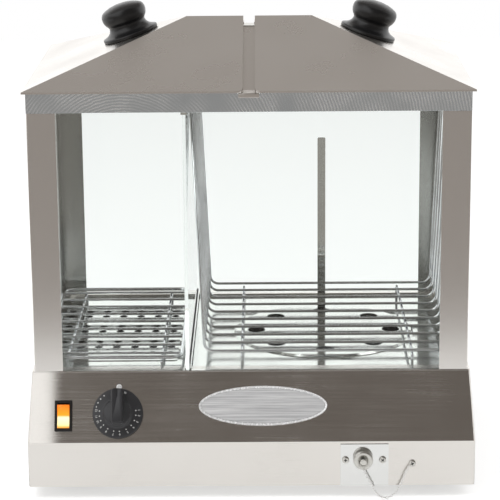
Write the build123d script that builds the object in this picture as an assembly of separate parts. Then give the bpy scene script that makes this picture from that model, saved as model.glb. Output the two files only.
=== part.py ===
from build123d import *
from math import asin, atan2, cos, hypot, pi, radians, sin, tan
import os

# Hot dog steamer, in millimetres. +Z is up and -Y is the front, where the controls are.
# The origin is on the counter, under the middle of the base.

# Base housing: a straight skirt, and above it a front panel that leans back
base_width = 470.0
base_depth = 350.0
base_sheet = 1.2
base_corner = 3.0
skirt_height = 48.9
panel_rise = 68.3
panel_setback = 33.0
side_taper = 3.7
rear_return = 14.0
floor_clearance = 14.0

# Bottom plate, feet and their screws
bottom_sheet = 1.2
bottom_recess = 0.8
bottom_flange = 12.0
bottom_fit = 0.3
bottom_screw_spacing_x = 210.0
bottom_screw_end = 3.0
foot_diameter = 30.0
foot_taper = 2.0
foot_bore = 12.0
foot_web = 5.0
foot_screw_end = 4.0
foot_side_inset = 45.0
foot_front_inset = 55.0
foot_rear_inset = 40.0

# Small fasteners: head diameter, head height, shank diameter
plate_screw = (7.4, 2.2, 3.4)
plate_screw_length = 7.0
bottom_screw = (7.0, 1.6, 3.4)
foot_screw = (9.0, 3.0, 4.8)
knob_screw = (9.5, 3.0, 4.8)
screw_fit = 0.05

# Cabinet of angle posts, rails and glass on the deck
cabinet_width = 457.0
cabinet_height = 296.7
cabinet_rear_step = 6.5
post_face = 30.0
post_sheet = 1.0
rail_height = 19.8
rail_flange = 4.5
glass_sheet = 3.0
glass_fit = 0.3
glass_top_gap = 0.5

# Deck and the well that the trays lie in
deck_sheet = 1.2
well_side_margin = 6.0
well_front_margin = 17.0
well_rear_margin = 10.5
well_corner = 4.0
tray_drop = 3.5
tray_sheet = 1.0
tray_fit = 0.5
seat_gap = 0.1

# Water pan under the well
pan_sheet = 1.0
pan_ledge = 7.0
pan_flange_grip = 3.5
pan_depth = 70.0
pan_corner = 20.0
pan_floor_radius = 8.0

# Heating element in the pan
element_diameter = 8.0
element_lift = 12.0
element_bend = 20.0
element_terminal_spacing = 60.0
element_terminal_x = 20.0
element_loop_margin = 45.0
element_flange_size = (90.0, 26.0, 4.0)
element_tail = 14.0

# Glass divider between the compartments
divider_x = -67.0
divider_sheet = 4.0
divider_end_gap = 1.0
divider_top_gap = 8.9
channel_wall = 1.2
channel_height = 4.3
seal_width = 0.8
seal_height = 5.6
clip_wall = 1.0
clip_reach = 8.0
clip_height = 22.0
clip_fit = 0.1

# Perforated bun tray
bun_hole = 9.0
bun_pitch = 20.0
bun_side_margin = 14.0
bun_rows = 11
bun_field_margin = 8.0
bun_field_rise = 0.8

# Juice tray with its raised disc and lifting bar
juice_disc_radius = 100.5
juice_disc_rise = 2.0
juice_hole = 20.0
juice_hole_count = 8
juice_hole_circle = 75.5
lift_bar_width = 9.0
lift_bar_sheet = 2.5
lift_bar_height = 202.8
lift_bar_offset = 87.5
lift_bar_foot = 10.0
lift_bar_bend = 3.0

# Basket of U-shaped wires
wire_diameter = 3.0
basket_wire_count = 10
basket_glass_gap = 0.6
basket_divider_gap = 3.1
basket_end_gap = 14.75
basket_top_gap = 15.9
basket_floor_height = 19.1
basket_flare = 11.4
basket_bend = 10.0
basket_rod_inset = 39.5
basket_leg_inset = 2.5
basket_top_rod_drop = 5.0
leg_bend = 5.0

# Bun rack
rack_rim_diameter = 4.0
rack_glass_gap = 0.5
rack_channel_gap = 1.0
rack_end_gap = 14.25
rack_corner = 12.0
rack_height = 12.7
rack_wire_count = 9
rack_rod_inset = 23.5
rack_rod_shift = 2.5
rack_leg_inset = 4.0

# Hipped roof of two lids
lid_sheet = 1.0
lid_overhang_side = 4.0
lid_overhang_front = 3.7
lid_overhang_rear = 3.5
lid_seat_gap = 0.5
lid_hem = 2.0
lid_rise = 54.7
lid_ridge_length = 135.8
lid_centre_gap = 12.4
lid_corner = 6.0
lid_strip_gap = 0.5
lid_plate_gap = 0.8

# Centre strip under the gap between the lids
strip_width = 21.4
strip_sheet = 1.2
strip_notch = 1.3
strip_notch_fit = 0.6
strip_front_drop = 4.8
strip_flat = 15.8
strip_apex_length = 21.0
strip_apex_drop = 10.2

# Lid hinges on the strip's apex
hinge_plate_sheet = 1.0
hinge_plate_length = 20.0
hinge_barrel = 4.6
hinge_axis_lift = 2.6
hinge_axis_x = 7.7
hinge_pin = 2.4
hinge_pin_fit = 0.03
hinge_fixed_length = 10.0
hinge_end_gap = 0.3
hinge_web = 1.6

# Lid knobs
knob_x = 128.5
knob_flange = 61.0
knob_flange_height = 4.2
knob_neck = 40.0
knob_neck_height = 13.5
knob_grip = 49.0
knob_grip_height = 24.0
knob_height = 36.5
knob_edge = 1.2
knob_flare = (3.0, 0.8)
knob_bulge = (1.6, 0.6)
knob_brow = 3.6
knob_crown = 4.6
knob_shoulder = (0.7, 0.6)
knob_screw_depth = 12.0
knob_screw_gap = 1.0

# Switch on the panel
switch_side_inset = 37.5
switch_slope = 28.5
switch_bezel = (18.5, 33.0, 1.8)
switch_body = (15.6, 29.6, 20.0)
switch_body_fit = 0.2
rocker_width = 12.4
rocker_length = 24.8
rocker_end_height = 3.6
rocker_dip = 2.2
rocker_depth = 8.4
rocker_lip = 4.6
rocker_draft = 0.37
rocker_keel = 10.4
rocker_edge = 0.8
rocker_side_fit = 0.3
rocker_end_fit = 0.95
rocker_pivot_depth = 3.5
rocker_tilt = 7.0
rocker_pin = 2.4
rocker_pin_fit = 0.05
rocker_pin_grip = 1.0

# Thermostat and its dial
dial_side_inset = 94.8
dial_slope = 30.7
dial_diameter = 53.0
dial_gap = 1.5
dial_rim = 1.5
dial_dish = 5.2
dial_hub = 29.0
dial_hub_height = 9.0
dial_grip = (13.0, 37.2)
dial_grip_shift = 6.8
dial_grip_height = 17.0
dial_groove = 1.0
shaft_diameter = 6.0
shaft_fit = 0.04
shaft_reach = 12.0
bushing_diameter = 9.6
bushing_height = 1.1
bushing_fit = 0.2
thermostat_size = (36.0, 30.0, 24.0)
shaft_depth = 10.0
bulb_diameter = 6.0
bulb_length = 90.0
bulb_gap = 0.3
capillary_diameter = 2.0
capillary_bend = 3.0
capillary_exit = 6.0
capillary_clearance = 8.0
stud_diameter = 6.0
stud_height = 1.2
stud_shift = 1.2
stud_distance = 28.1

# Oval badge on the panel
badge_x = 12.5
badge_slope = 38.0
badge_width = 135.0
badge_height = 42.0
badge_sheet = 1.0
badge_rim = 2.4
badge_rim_height = 0.8

# Drain on the skirt
drain_side_inset = 117.8
drain_height = 30.5
drain_plate_left_reach = 23.6
drain_plate_right_reach = 26.8
drain_plate_height = 46.0
drain_plate_sheet = 1.2
drain_screw_height = 29.0
drain_screw_inset = (5.2, 6.2)
pipe_diameter = 16.0
pipe_wall = 1.5
pipe_fit = 0.1
pipe_length = 76.0
cap_diameter = 20.6
cap_head = 8.2
cap_gap = 0.1
cap_edge = 2.0
cap_stem = 10.0
cap_fit = 0.05
cap_neck = 2.0
cap_neck_length = 2.8
cap_screw_head = (7.0, 1.6)
cap_screw_depth = 6.0
ring_radius = 3.4
ring_wire = 0.8
link_length = 5.0
link_width = 1.5
link_wire = 0.6
link_gap = 0.05

# Chain from the cap to its anchor screw: x from the drain, y from the skirt's face, height over its edge
chain_diameter = 2.4
chain_points = (
    (1.0, -10.9, 19.9),
    (3.7, -10.0, 13.0),
    (8.8, -9.2, 4.0),
    (12.8, -8.2, -5.3),
    (19.3, -7.4, -11.3),
    (28.8, -6.6, -11.1),
    (36.8, -5.8, -3.0),
    (41.1, -5.0, 6.6),
    (44.8, -4.2, 17.0),
    (47.8, -3.2, 21.4),
)
anchor_reach = 51.7
anchor_height = 24.4

# Cable gland on the rear wall
gland_side_inset = 65.0
gland_height = 24.0
gland_diameter = 20.0
gland_bore = 8.5
gland_reach = 13.9
gland_flange = 3.0
gland_neck = 14.0
gland_nut = 6.0

# Places worked out from the sizes above
z_skirt = floor_clearance
z_fold = z_skirt + skirt_height
z_deck = z_fold + panel_rise
y_front = -base_depth / 2
y_rear = base_depth / 2
panel_lean = atan2(panel_setback, panel_rise)
panel_wall = base_sheet * cos(panel_lean)
panel = Plane(
    origin=(0, y_front, z_fold),
    x_dir=(1, 0, 0),
    z_dir=(0, -cos(panel_lean), sin(panel_lean)),
)
z_bottom = z_skirt + bottom_recess
gland_x = gland_side_inset - base_width / 2
switch_x = switch_side_inset - base_width / 2
dial_x = dial_side_inset - base_width / 2

cabinet_front = y_front + panel_setback
cabinet_rear = y_rear - cabinet_rear_step
cabinet_y = (cabinet_front + cabinet_rear) / 2
cabinet_x = cabinet_width / 2
z_top = z_deck + cabinet_height
z_rail = z_top - rail_height
glass_x = cabinet_x - post_sheet - glass_sheet
glass_front = cabinet_front + post_sheet + glass_sheet
glass_rear = cabinet_rear - post_sheet - glass_sheet

well_x = cabinet_x - well_side_margin
well_front = cabinet_front + well_front_margin
well_rear = cabinet_rear - well_rear_margin
z_tray = z_deck - tray_drop
z_ledge = z_tray - tray_sheet
pan_x = well_x - pan_ledge
pan_front = well_front + pan_ledge
pan_rear = well_rear - pan_ledge
z_pan = z_ledge - pan_depth
z_element = z_pan + pan_sheet + element_lift - element_diameter / 2

channel_half = divider_sheet / 2 + seal_width + channel_wall
bun_left = tray_fit - well_x
bun_right = divider_x - channel_half - tray_fit
juice_left = divider_x + channel_half + tray_fit
divider_front = glass_front + divider_end_gap
divider_rear = glass_rear - divider_end_gap
z_divider = z_top - divider_top_gap

basket_left = divider_x + divider_sheet / 2 + basket_divider_gap
basket_right = glass_x - basket_glass_gap
basket_reach = glass_rear - glass_front - 2 * basket_end_gap
basket_pitch = (basket_reach - wire_diameter) / (basket_wire_count - 1)
juice_centre_x = (basket_left + basket_right) / 2
rack_left = rack_glass_gap - glass_x
rack_right = divider_x - channel_half - rack_channel_gap
rack_centre_x = (rack_left + rack_right) / 2
rack_width = rack_right - rack_left - rack_rim_diameter
rack_length = glass_rear - glass_front - 2 * rack_end_gap - rack_rim_diameter
rack_pitch = rack_length / rack_wire_count

z_rim = z_top + lid_seat_gap
z_eave = z_rim + lid_hem
z_ridge = z_eave + lid_rise
lid_x = cabinet_x + lid_overhang_side
lid_inner_x = lid_centre_gap / 2
lid_front = cabinet_front - lid_overhang_front
lid_rear = cabinet_rear + lid_overhang_rear
lid_y = (lid_front + lid_rear) / 2
front_slope = atan2(lid_rise, lid_y - lid_front)
side_slope = atan2(lid_rise, lid_x - lid_ridge_length / 2)

z_strip = z_top - strip_notch + strip_sheet
z_apex = z_ridge - strip_apex_drop
z_hinge_plate = z_apex + hinge_plate_sheet
z_hinge = z_hinge_plate + hinge_axis_lift

drain_x = base_width / 2 - drain_side_inset
drain_plate_left = drain_x - drain_plate_left_reach
drain_plate_right = drain_x + drain_plate_right_reach
z_drain = z_skirt + drain_height
cap_face = y_front - drain_plate_sheet - cap_gap - cap_head
ring_y = cap_face - cap_neck_length / 2
z_ring = z_drain + cap_neck / 2 - ring_radius + ring_wire / 2 + link_gap
z_link = z_ring - ring_radius + ring_wire / 2 + link_gap + link_wire / 2 - link_length / 2

parts = {}


def block(x0, x1, y0, y1, z0, z1):
    """Return a rectangular solid from its six faces."""
    centre = Pos((x0 + x1) / 2, (y0 + y1) / 2, (z0 + z1) / 2)
    return centre * Box(x1 - x0, y1 - y0, z1 - z0)


def rounded_slab(x0, x1, y0, y1, z0, z1, corner):
    """Return a slab whose upright edges are rounded."""
    outline = Pos((x0 + x1) / 2, (y0 + y1) / 2, z0) * RectangleRounded(x1 - x0, y1 - y0, corner)
    return extrude(outline, z1 - z0)


def screw(head, height, shank, length):
    """Return a pan head screw that points along -Z, its head sitting on Z = 0."""
    dome = Cylinder(head / 2, height, align=(Align.CENTER, Align.CENTER, Align.MIN))
    dome = fillet(dome.edges().group_by(Axis.Z)[-1], height * 0.6)
    stem = Cylinder(shank / 2, length, align=(Align.CENTER, Align.CENTER, Align.MAX))
    return dome + stem


def screw_hole(shank, length):
    """Return the hole that a screw's shank passes through, along -Z from Z = 0."""
    return Cylinder(shank / 2 + screw_fit, length, align=(Align.CENTER, Align.CENTER, Align.MAX))


def wire(points, bend, diameter):
    """Return a round wire along straight runs that are joined by bends."""
    path = FilletPolyline(*points, radius=bend)
    return sweep(Plane(path @ 0, z_dir=path % 0) * Circle(diameter / 2), path)


def housing(inset):
    """Return the solid inside the base's faces, which are moved in by the inset."""
    width = base_width - 2 * inset
    corner = max(base_corner - inset, 0.5)
    skirt = rounded_slab(
        -width / 2, width / 2, y_front + inset, y_rear - inset, z_skirt, z_fold, corner
    )
    lower = Pos(0, 0, z_fold) * RectangleRounded(width, base_depth - 2 * inset, corner)
    upper = Pos(0, panel_setback / 2, z_deck) * RectangleRounded(
        width - 2 * side_taper, base_depth - panel_setback - 2 * inset, corner
    )
    return skirt + loft([lower, upper])


def bottom_screw_places():
    """Return where the bottom plate is screwed to the housing's flange."""
    inset = base_sheet + bottom_flange / 2
    front = y_front + inset
    rear = y_rear - inset
    return [
        Pos(x, y, z_bottom)
        for x in (-bottom_screw_spacing_x / 2, bottom_screw_spacing_x / 2)
        for y in (front, rear)
    ]


def drain_screw_places():
    """Return where the drain plate is screwed to the skirt, facing the front."""
    left = drain_plate_left + drain_screw_inset[0]
    right = drain_plate_right - drain_screw_inset[1]
    facing = Rot(90, 0, 0)
    face = y_front - drain_plate_sheet
    return [Pos(x, face, z_skirt + drain_screw_height) * facing for x in (left, right)]


def anchor_place():
    """Return where the chain's anchor screw stands on the skirt."""
    return Pos(drain_x + anchor_reach, y_front, z_skirt + anchor_height) * Rot(90, 0, 0)


def foot_places():
    """Return the centres of the four feet on the counter."""
    front = y_front + foot_front_inset
    rear = y_rear - foot_rear_inset
    half = base_width / 2 - foot_side_inset
    return [Pos(x, y, 0) for x in (-half, half) for y in (front, rear)]


def base_shell():
    """The housing is a front, two side and a rear sheet that butt, with an inward flange at the foot."""
    shell = housing(0) - housing(base_sheet)
    shell -= block(-base_width, base_width, -base_depth, base_depth, z_deck - deck_sheet, z_deck + 1)
    flange_low = z_bottom + bottom_sheet
    ring = rounded_slab(
        -base_width / 2 + base_sheet / 2, base_width / 2 - base_sheet / 2,
        y_front + base_sheet / 2, y_rear - base_sheet / 2,
        flange_low, flange_low + base_sheet, base_corner - base_sheet / 2,
    )
    inset = base_sheet + bottom_flange
    ring -= block(
        -base_width / 2 + inset, base_width / 2 - inset, y_front + inset, y_rear - inset,
        flange_low, flange_low + base_sheet,
    )
    shell += ring
    depth = 4 * base_sheet
    width = switch_body[0] + 2 * switch_body_fit
    height = switch_body[1] + 2 * switch_body_fit
    shell -= panel * Pos(switch_x, switch_slope, 0) * Box(width, height, depth)
    shell -= panel * Pos(dial_x, dial_slope, 0) * Cylinder(bushing_diameter / 2 + bushing_fit, depth)
    across = Rot(90, 0, 0)
    shell -= Pos(drain_x, y_front, z_drain) * across * Cylinder(pipe_diameter / 2 + pipe_fit, depth)
    gland = Pos(gland_x, y_rear, z_skirt + gland_height) * across
    shell -= gland * Cylinder(gland_neck / 2 + pipe_fit, depth)
    for place in drain_screw_places():
        shell -= place * screw_hole(plate_screw[2], depth)
    shell -= anchor_place() * screw_hole(plate_screw[2], depth)
    for place in bottom_screw_places():
        shell -= place * Rot(180, 0, 0) * screw_hole(bottom_screw[2], depth)
    rear_seam = y_rear - rear_return
    for name, x0, x1, y0, y1 in (
        ("base_front", -base_width, base_width, -base_depth, cabinet_front),
        ("base_left", -base_width, 0, cabinet_front, rear_seam),
        ("base_right", 0, base_width, cabinet_front, rear_seam),
        ("base_rear", -base_width, base_width, rear_seam, base_depth),
    ):
        parts[name] = shell & block(x0, x1, y0, y1, 0, 2 * z_deck)


def bottom():
    """The bottom plate closes the base; the feet are screwed up into it."""
    inset = base_sheet + bottom_fit
    plate = rounded_slab(
        -base_width / 2 + inset, base_width / 2 - inset, y_front + inset, y_rear - inset,
        z_bottom, z_bottom + bottom_sheet, base_corner - base_sheet,
    )
    half = foot_diameter / 2
    base = half - foot_taper
    profile = Polyline(
        (foot_bore / 2, 0), (base - 1, 0), (base, 1), (half, z_bottom),
        (foot_screw[2] / 2 + screw_fit, z_bottom), (foot_screw[2] / 2 + screw_fit, z_bottom - foot_web),
        (foot_bore / 2, z_bottom - foot_web), close=True,
    )
    foot = revolve(Plane.XZ * make_face(profile), Axis.Z)
    feet = []
    foot_bolts = []
    head = Pos(0, 0, z_bottom - foot_web) * Rot(180, 0, 0)
    length = foot_web + bottom_sheet + foot_screw_end
    for place in foot_places():
        feet.append(place * foot)
        foot_bolts.append(place * head * screw(*foot_screw, length))
        plate -= place * head * screw_hole(foot_screw[2], length + 1)
    bolts = []
    for place in bottom_screw_places():
        bolt = place * Rot(180, 0, 0)
        bolts.append(bolt * screw(*bottom_screw, bottom_sheet + base_sheet + bottom_screw_end))
        plate -= bolt * screw_hole(bottom_screw[2], 2 * bottom_sheet)
    parts["bottom_plate"] = plate
    parts["rubber_feet"] = feet
    parts["foot_screws"] = foot_bolts
    parts["bottom_plate_screws"] = bolts


def deck():
    """The deck caps the housing; a lip round the well turns down to the pan's flange."""
    sheet = housing(0) & block(
        -base_width, base_width, -base_depth, base_depth, z_deck - deck_sheet, z_deck
    )
    outer = well_x + deck_sheet
    sheet += rounded_slab(
        -outer, outer, well_front - deck_sheet, well_rear + deck_sheet,
        z_ledge, z_deck, well_corner + deck_sheet,
    )
    sheet -= rounded_slab(
        -well_x, well_x, well_front, well_rear, z_ledge - 1, z_deck + 1, well_corner
    )
    parts["deck_frame"] = sheet


def water_pan():
    """The pan is drawn from one sheet, with a flange that carries the trays."""
    bowl = rounded_slab(
        -pan_x, pan_x, pan_front, pan_rear, z_pan, z_ledge, pan_corner
    )
    bowl = fillet(bowl.edges().group_by(Axis.Z)[0], pan_floor_radius)
    grip = well_x + pan_flange_grip
    bowl += rounded_slab(
        -grip, grip, well_front - pan_flange_grip, well_rear + pan_flange_grip,
        z_ledge - pan_sheet, z_ledge, well_corner + pan_flange_grip,
    )
    inner = rounded_slab(
        -pan_x + pan_sheet, pan_x - pan_sheet, pan_front + pan_sheet, pan_rear - pan_sheet,
        z_pan + pan_sheet, z_ledge + 1, pan_corner - pan_sheet,
    )
    inner = fillet(inner.edges().group_by(Axis.Z)[0], pan_floor_radius - pan_sheet)
    pan = bowl - inner
    drain_y = y_front + pipe_length
    pan -= Pos(drain_x, drain_y, z_pan) * Cylinder(pipe_diameter / 2 - pipe_wall, 4 * pan_sheet)
    for side in (-1, 1):
        tail = Pos(element_terminal_x + side * element_terminal_spacing / 2, pan_front, z_element)
        pan -= tail * Rot(90, 0, 0) * Cylinder(element_diameter / 2 + screw_fit, 4 * pan_sheet)
    parts["water_pan"] = pan


def element():
    """The heating element is a bent tube; a flange outside the pan's front wall seals its two ends."""
    half = element_terminal_spacing / 2
    left = element_terminal_x - half
    right = element_terminal_x + half
    near = pan_front + element_loop_margin
    far = pan_rear - element_loop_margin
    side = pan_x - element_loop_margin
    start = pan_front - element_flange_size[2] - element_tail
    tube = wire(
        [
            (left, start, z_element), (left, near, z_element), (-side, near, z_element),
            (-side, far, z_element), (side, far, z_element), (side, near, z_element),
            (right, near, z_element), (right, start, z_element),
        ],
        element_bend, element_diameter,
    )
    length, height, thickness = element_flange_size
    flange = Pos(element_terminal_x, pan_front - thickness / 2, z_element) * Box(length, thickness, height)
    parts["heating_element"] = tube + flange


def drain():
    """The drain runs from the pan's floor to the plate on the skirt, where a push-in cap shuts it."""
    plate = block(
        drain_plate_left, drain_plate_right, y_front - drain_plate_sheet, y_front,
        z_skirt, z_skirt + drain_plate_height,
    )
    mouth = Pos(drain_x, y_front, z_drain) * Rot(90, 0, 0)
    plate -= mouth * Cylinder(pipe_diameter / 2 + pipe_fit, 4 * drain_plate_sheet)
    bolts = []
    for place in drain_screw_places():
        plate -= place * screw_hole(plate_screw[2], 2 * drain_plate_sheet)
        bolts.append(place * screw(*plate_screw, plate_screw_length))
    bolts.append(anchor_place() * screw(*plate_screw, plate_screw_length))
    parts["drain_screws"] = bolts
    parts["drain_plate"] = plate

    start = y_front - drain_plate_sheet
    end = y_front + pipe_length
    outer = pipe_diameter / 2
    inner = outer - pipe_wall
    along = Pos(drain_x, start, z_drain) * Rot(-90, 0, 0)
    low = (Align.CENTER, Align.CENTER, Align.MIN)
    rise = Pos(drain_x, end, z_drain)
    pipe = along * Cylinder(outer, end - start, align=low)
    pipe += rise * Sphere(outer)
    pipe += rise * Cylinder(outer, z_pan - z_drain, align=low)
    pipe -= along * Cylinder(inner, end - start, align=low)
    pipe -= rise * Sphere(inner)
    pipe -= rise * Cylinder(inner, z_pan - z_drain, align=low)
    parts["drain_pipe"] = pipe


def drain_cap():
    """The cap's stem fits the pipe; its screw holds the ring that the chain hangs from."""
    stem = pipe_diameter / 2 - pipe_wall - cap_fit
    radius = cap_diameter / 2
    neck = cap_neck / 2
    depth = cap_screw_depth
    profile = Polyline(
        (neck + screw_fit, -cap_head), (radius, -cap_head), (radius, 0), (stem, 0),
        (stem, cap_stem - 1), (stem - 1, cap_stem), (0, cap_stem), (0, depth - cap_head),
        (neck + screw_fit, depth - cap_head), close=True,
    )
    outline = make_face(profile)
    rim = outline.vertices().sort_by_distance((radius, -cap_head, 0))[0]
    outline = fillet(rim, cap_edge)
    facing = Pos(drain_x, cap_face + cap_head, z_drain) * Rot(-90, 0, 0)
    parts["drain_cap"] = facing * revolve(Plane.XZ * outline, Axis.Z)
    head, height = cap_screw_head
    bolt = screw(head, height, cap_neck, cap_neck_length + depth)
    parts["cap_screw"] = Pos(drain_x, cap_face - cap_neck_length, z_drain) * Rot(90, 0, 0) * bolt
    ring = Pos(drain_x, ring_y, z_ring) * Rot(90, 0, 0) * Torus(ring_radius, ring_wire / 2)
    loop = SlotOverall(link_length, link_width).wire()
    section = Plane(loop @ 0.1, z_dir=loop % 0.1) * Circle(link_wire / 2)
    link = Pos(drain_x, ring_y, z_link) * Rot(0, 90, 0) * sweep(section, loop)
    parts["cap_ring"] = [ring, link]


def chain():
    """The chain's path sags from the cap's ring to the anchor screw, clear of the counter."""
    points = [Vector(drain_x + x, y_front + y, z_skirt + z) for x, y, z in chain_points]
    runs = [b - a for a, b in zip(points, points[1:])]
    radii = []
    for before, after in zip(runs, runs[1:]):
        turn = radians(before.get_angle(after))
        radii.append(0.45 * min(before.length, after.length) / tan(turn / 2))
    path = FilletPolyline(*points, radius=radii)
    tube = sweep(Plane(path @ 0, z_dir=path % 0) * Circle(chain_diameter / 2), path)
    section = pi * chain_diameter**2 / 4
    print("chain radii", [round(radius, 1) for radius in radii])
    print("chain length", round(path.length, 2), "volume", tube.volume, section * path.length)
    parts["drain_chain"] = tube


def gland():
    """The cable gland is clamped in the rear wall, above the bottom plate."""
    radius = gland_diameter / 2
    neck = gland_neck / 2
    inside = base_sheet + gland_nut
    profile = Polyline(
        (gland_bore / 2, gland_reach), (neck - 1, gland_reach), (neck, gland_reach - 2),
        (neck, gland_flange), (radius, gland_flange), (radius, 0), (neck, 0), (neck, -base_sheet),
        (radius, -base_sheet), (radius, -inside), (gland_bore / 2, -inside), close=True,
    )
    body = revolve(Plane.XZ * make_face(profile), Axis.Z)
    parts["cable_gland"] = Pos(gland_x, y_rear, z_skirt + gland_height) * Rot(-90, 0, 0) * body


def posts():
    """Each corner post is a folded angle between the deck and the rails."""
    for name, x_side, y_side in (
        ("post_front_left", -1, -1), ("post_front_right", 1, -1),
        ("post_rear_left", -1, 1), ("post_rear_right", 1, 1),
    ):
        y_face = cabinet_front if y_side < 0 else cabinet_rear
        outline = Polyline(
            (0, 0), (-post_face, 0), (-post_face, -post_sheet), (-post_sheet, -post_sheet),
            (-post_sheet, -post_face), (0, -post_face), close=True,
        )
        angle = extrude(make_face(outline), z_rail - z_deck)
        corner = fillet(angle.edges().filter_by(Axis.Z).sort_by_distance((0, 0, 0))[0], post_sheet)
        if x_side < 0:
            corner = mirror(corner, Plane.YZ)
        if y_side < 0:
            corner = mirror(corner, Plane.XZ)
        parts[name] = Pos(x_side * cabinet_x, y_face, z_deck) * corner


def rails():
    """Folded rails tie the posts; their flanges cover the glass, and the strip lies in two notches."""
    profile = make_face(Polyline(
        (0, 0), (post_sheet, 0), (post_sheet, rail_height - post_sheet),
        (rail_flange, rail_height - post_sheet), (rail_flange, rail_height), (0, rail_height),
        close=True,
    ))
    wide = extrude(Plane.YZ * profile, cabinet_width)
    notch_half = (strip_width + 2 * strip_notch_fit) / 2
    notch = block(-notch_half, notch_half, -1, 2 * rail_flange, rail_height - strip_notch, rail_height + 1)
    front = Pos(-cabinet_x, 0, 0) * wide - notch
    parts["rail_front"] = Pos(0, cabinet_front, z_rail) * front
    parts["rail_rear"] = Pos(0, cabinet_rear, z_rail) * mirror(front, Plane.XZ)
    length = cabinet_rear - cabinet_front - 2 * rail_flange
    side = Plane(origin=(0, 0, 0), x_dir=(1, 0, 0), z_dir=(0, -1, 0)) * profile
    side = Pos(-cabinet_x, cabinet_y + length / 2, z_rail) * extrude(side, length)
    parts["rail_left"] = side
    parts["rail_right"] = mirror(side, Plane.YZ)


def glass():
    """The four panes stand on the deck behind the posts, under the rails' flanges."""
    low = z_deck
    high = z_top - post_sheet - glass_top_gap
    outer = glass_x + glass_sheet
    side = block(
        glass_x, outer, cabinet_front + post_sheet, cabinet_rear - post_sheet, low, high
    )
    parts["glass_sides"] = [mirror(side, Plane.YZ), side]
    half = glass_x - glass_fit
    parts["glass_front"] = block(-half, half, glass_front - glass_sheet, glass_front, low, high)
    parts["glass_rear"] = block(-half, half, glass_rear, glass_rear + glass_sheet, low, high)


def divider():
    """A glass divider stands in a channel across the well and in two clips under the rails."""
    half = divider_sheet / 2
    parts["divider_glass"] = block(
        divider_x - half, divider_x + half, divider_front, divider_rear, z_deck, z_divider
    )
    floor = z_deck - channel_wall
    bar = block(
        divider_x - channel_half, divider_x + channel_half, well_front, well_rear,
        z_ledge, z_deck + channel_height,
    )
    bar -= block(
        divider_x - channel_half + channel_wall, divider_x + channel_half - channel_wall,
        well_front, well_rear, z_ledge, floor,
    )
    bar += block(
        divider_x - channel_half, divider_x + channel_half, divider_front, divider_rear,
        z_deck, z_deck + channel_height,
    )
    bar -= block(
        divider_x - half, divider_x + half + seal_width, divider_front, divider_rear,
        z_deck, z_deck + channel_height,
    )
    bar -= block(
        divider_x - channel_half, divider_x - half - channel_wall, divider_front, divider_rear,
        z_deck, z_deck + channel_height,
    )
    parts["divider_channel"] = bar
    parts["divider_seal"] = block(
        divider_x + half, divider_x + half + seal_width, divider_front, divider_rear,
        z_deck, z_deck + seal_height,
    )
    slot = half + clip_fit
    wall = slot + clip_wall
    z_clip = z_top - post_sheet
    clip = block(
        divider_x - wall, divider_x + wall, glass_front + clip_fit, glass_front + clip_reach,
        z_clip - clip_height, z_clip,
    )
    clip -= block(
        divider_x - slot, divider_x + slot, divider_front - clip_fit, glass_front + clip_reach,
        z_clip - clip_height, z_divider + clip_fit,
    )
    rear_clip = Pos(0, 2 * cabinet_y, 0) * mirror(clip, Plane.XZ)
    parts["divider_clips"] = [clip, rear_clip]


def bun_tray():
    """The bun tray is a flat sheet whose perforated field is pressed up."""
    front = well_front + tray_fit
    rear = well_rear - tray_fit
    corner = well_corner - tray_fit
    sheet = rounded_slab(bun_left, bun_right, front, rear, z_ledge + seat_gap, z_tray + seat_gap, corner)
    columns = int((bun_right - bun_left - 2 * bun_side_margin) / bun_pitch) + 1
    half_x = (columns - 1) * bun_pitch / 2 + bun_hole / 2 + bun_field_margin / 2
    half_y = (bun_rows - 1) * bun_pitch / 2 + bun_hole / 2 + bun_field_margin / 2
    sheet += rounded_slab(
        rack_centre_x - half_x, rack_centre_x + half_x, cabinet_y - half_y, cabinet_y + half_y,
        z_tray + seat_gap, z_tray + seat_gap + bun_field_rise, well_corner,
    )
    sheet -= rounded_slab(
        rack_centre_x - half_x + tray_sheet, rack_centre_x + half_x - tray_sheet,
        cabinet_y - half_y + tray_sheet, cabinet_y + half_y - tray_sheet,
        z_ledge, z_ledge + seat_gap + bun_field_rise, well_corner - tray_sheet,
    )
    holes = [
        Pos(rack_centre_x, cabinet_y, z_tray) * place * Cylinder(bun_hole / 2, 6 * tray_sheet)
        for place in GridLocations(bun_pitch, bun_pitch, columns, bun_rows)
    ]
    parts["bun_tray"] = sheet - holes


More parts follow.
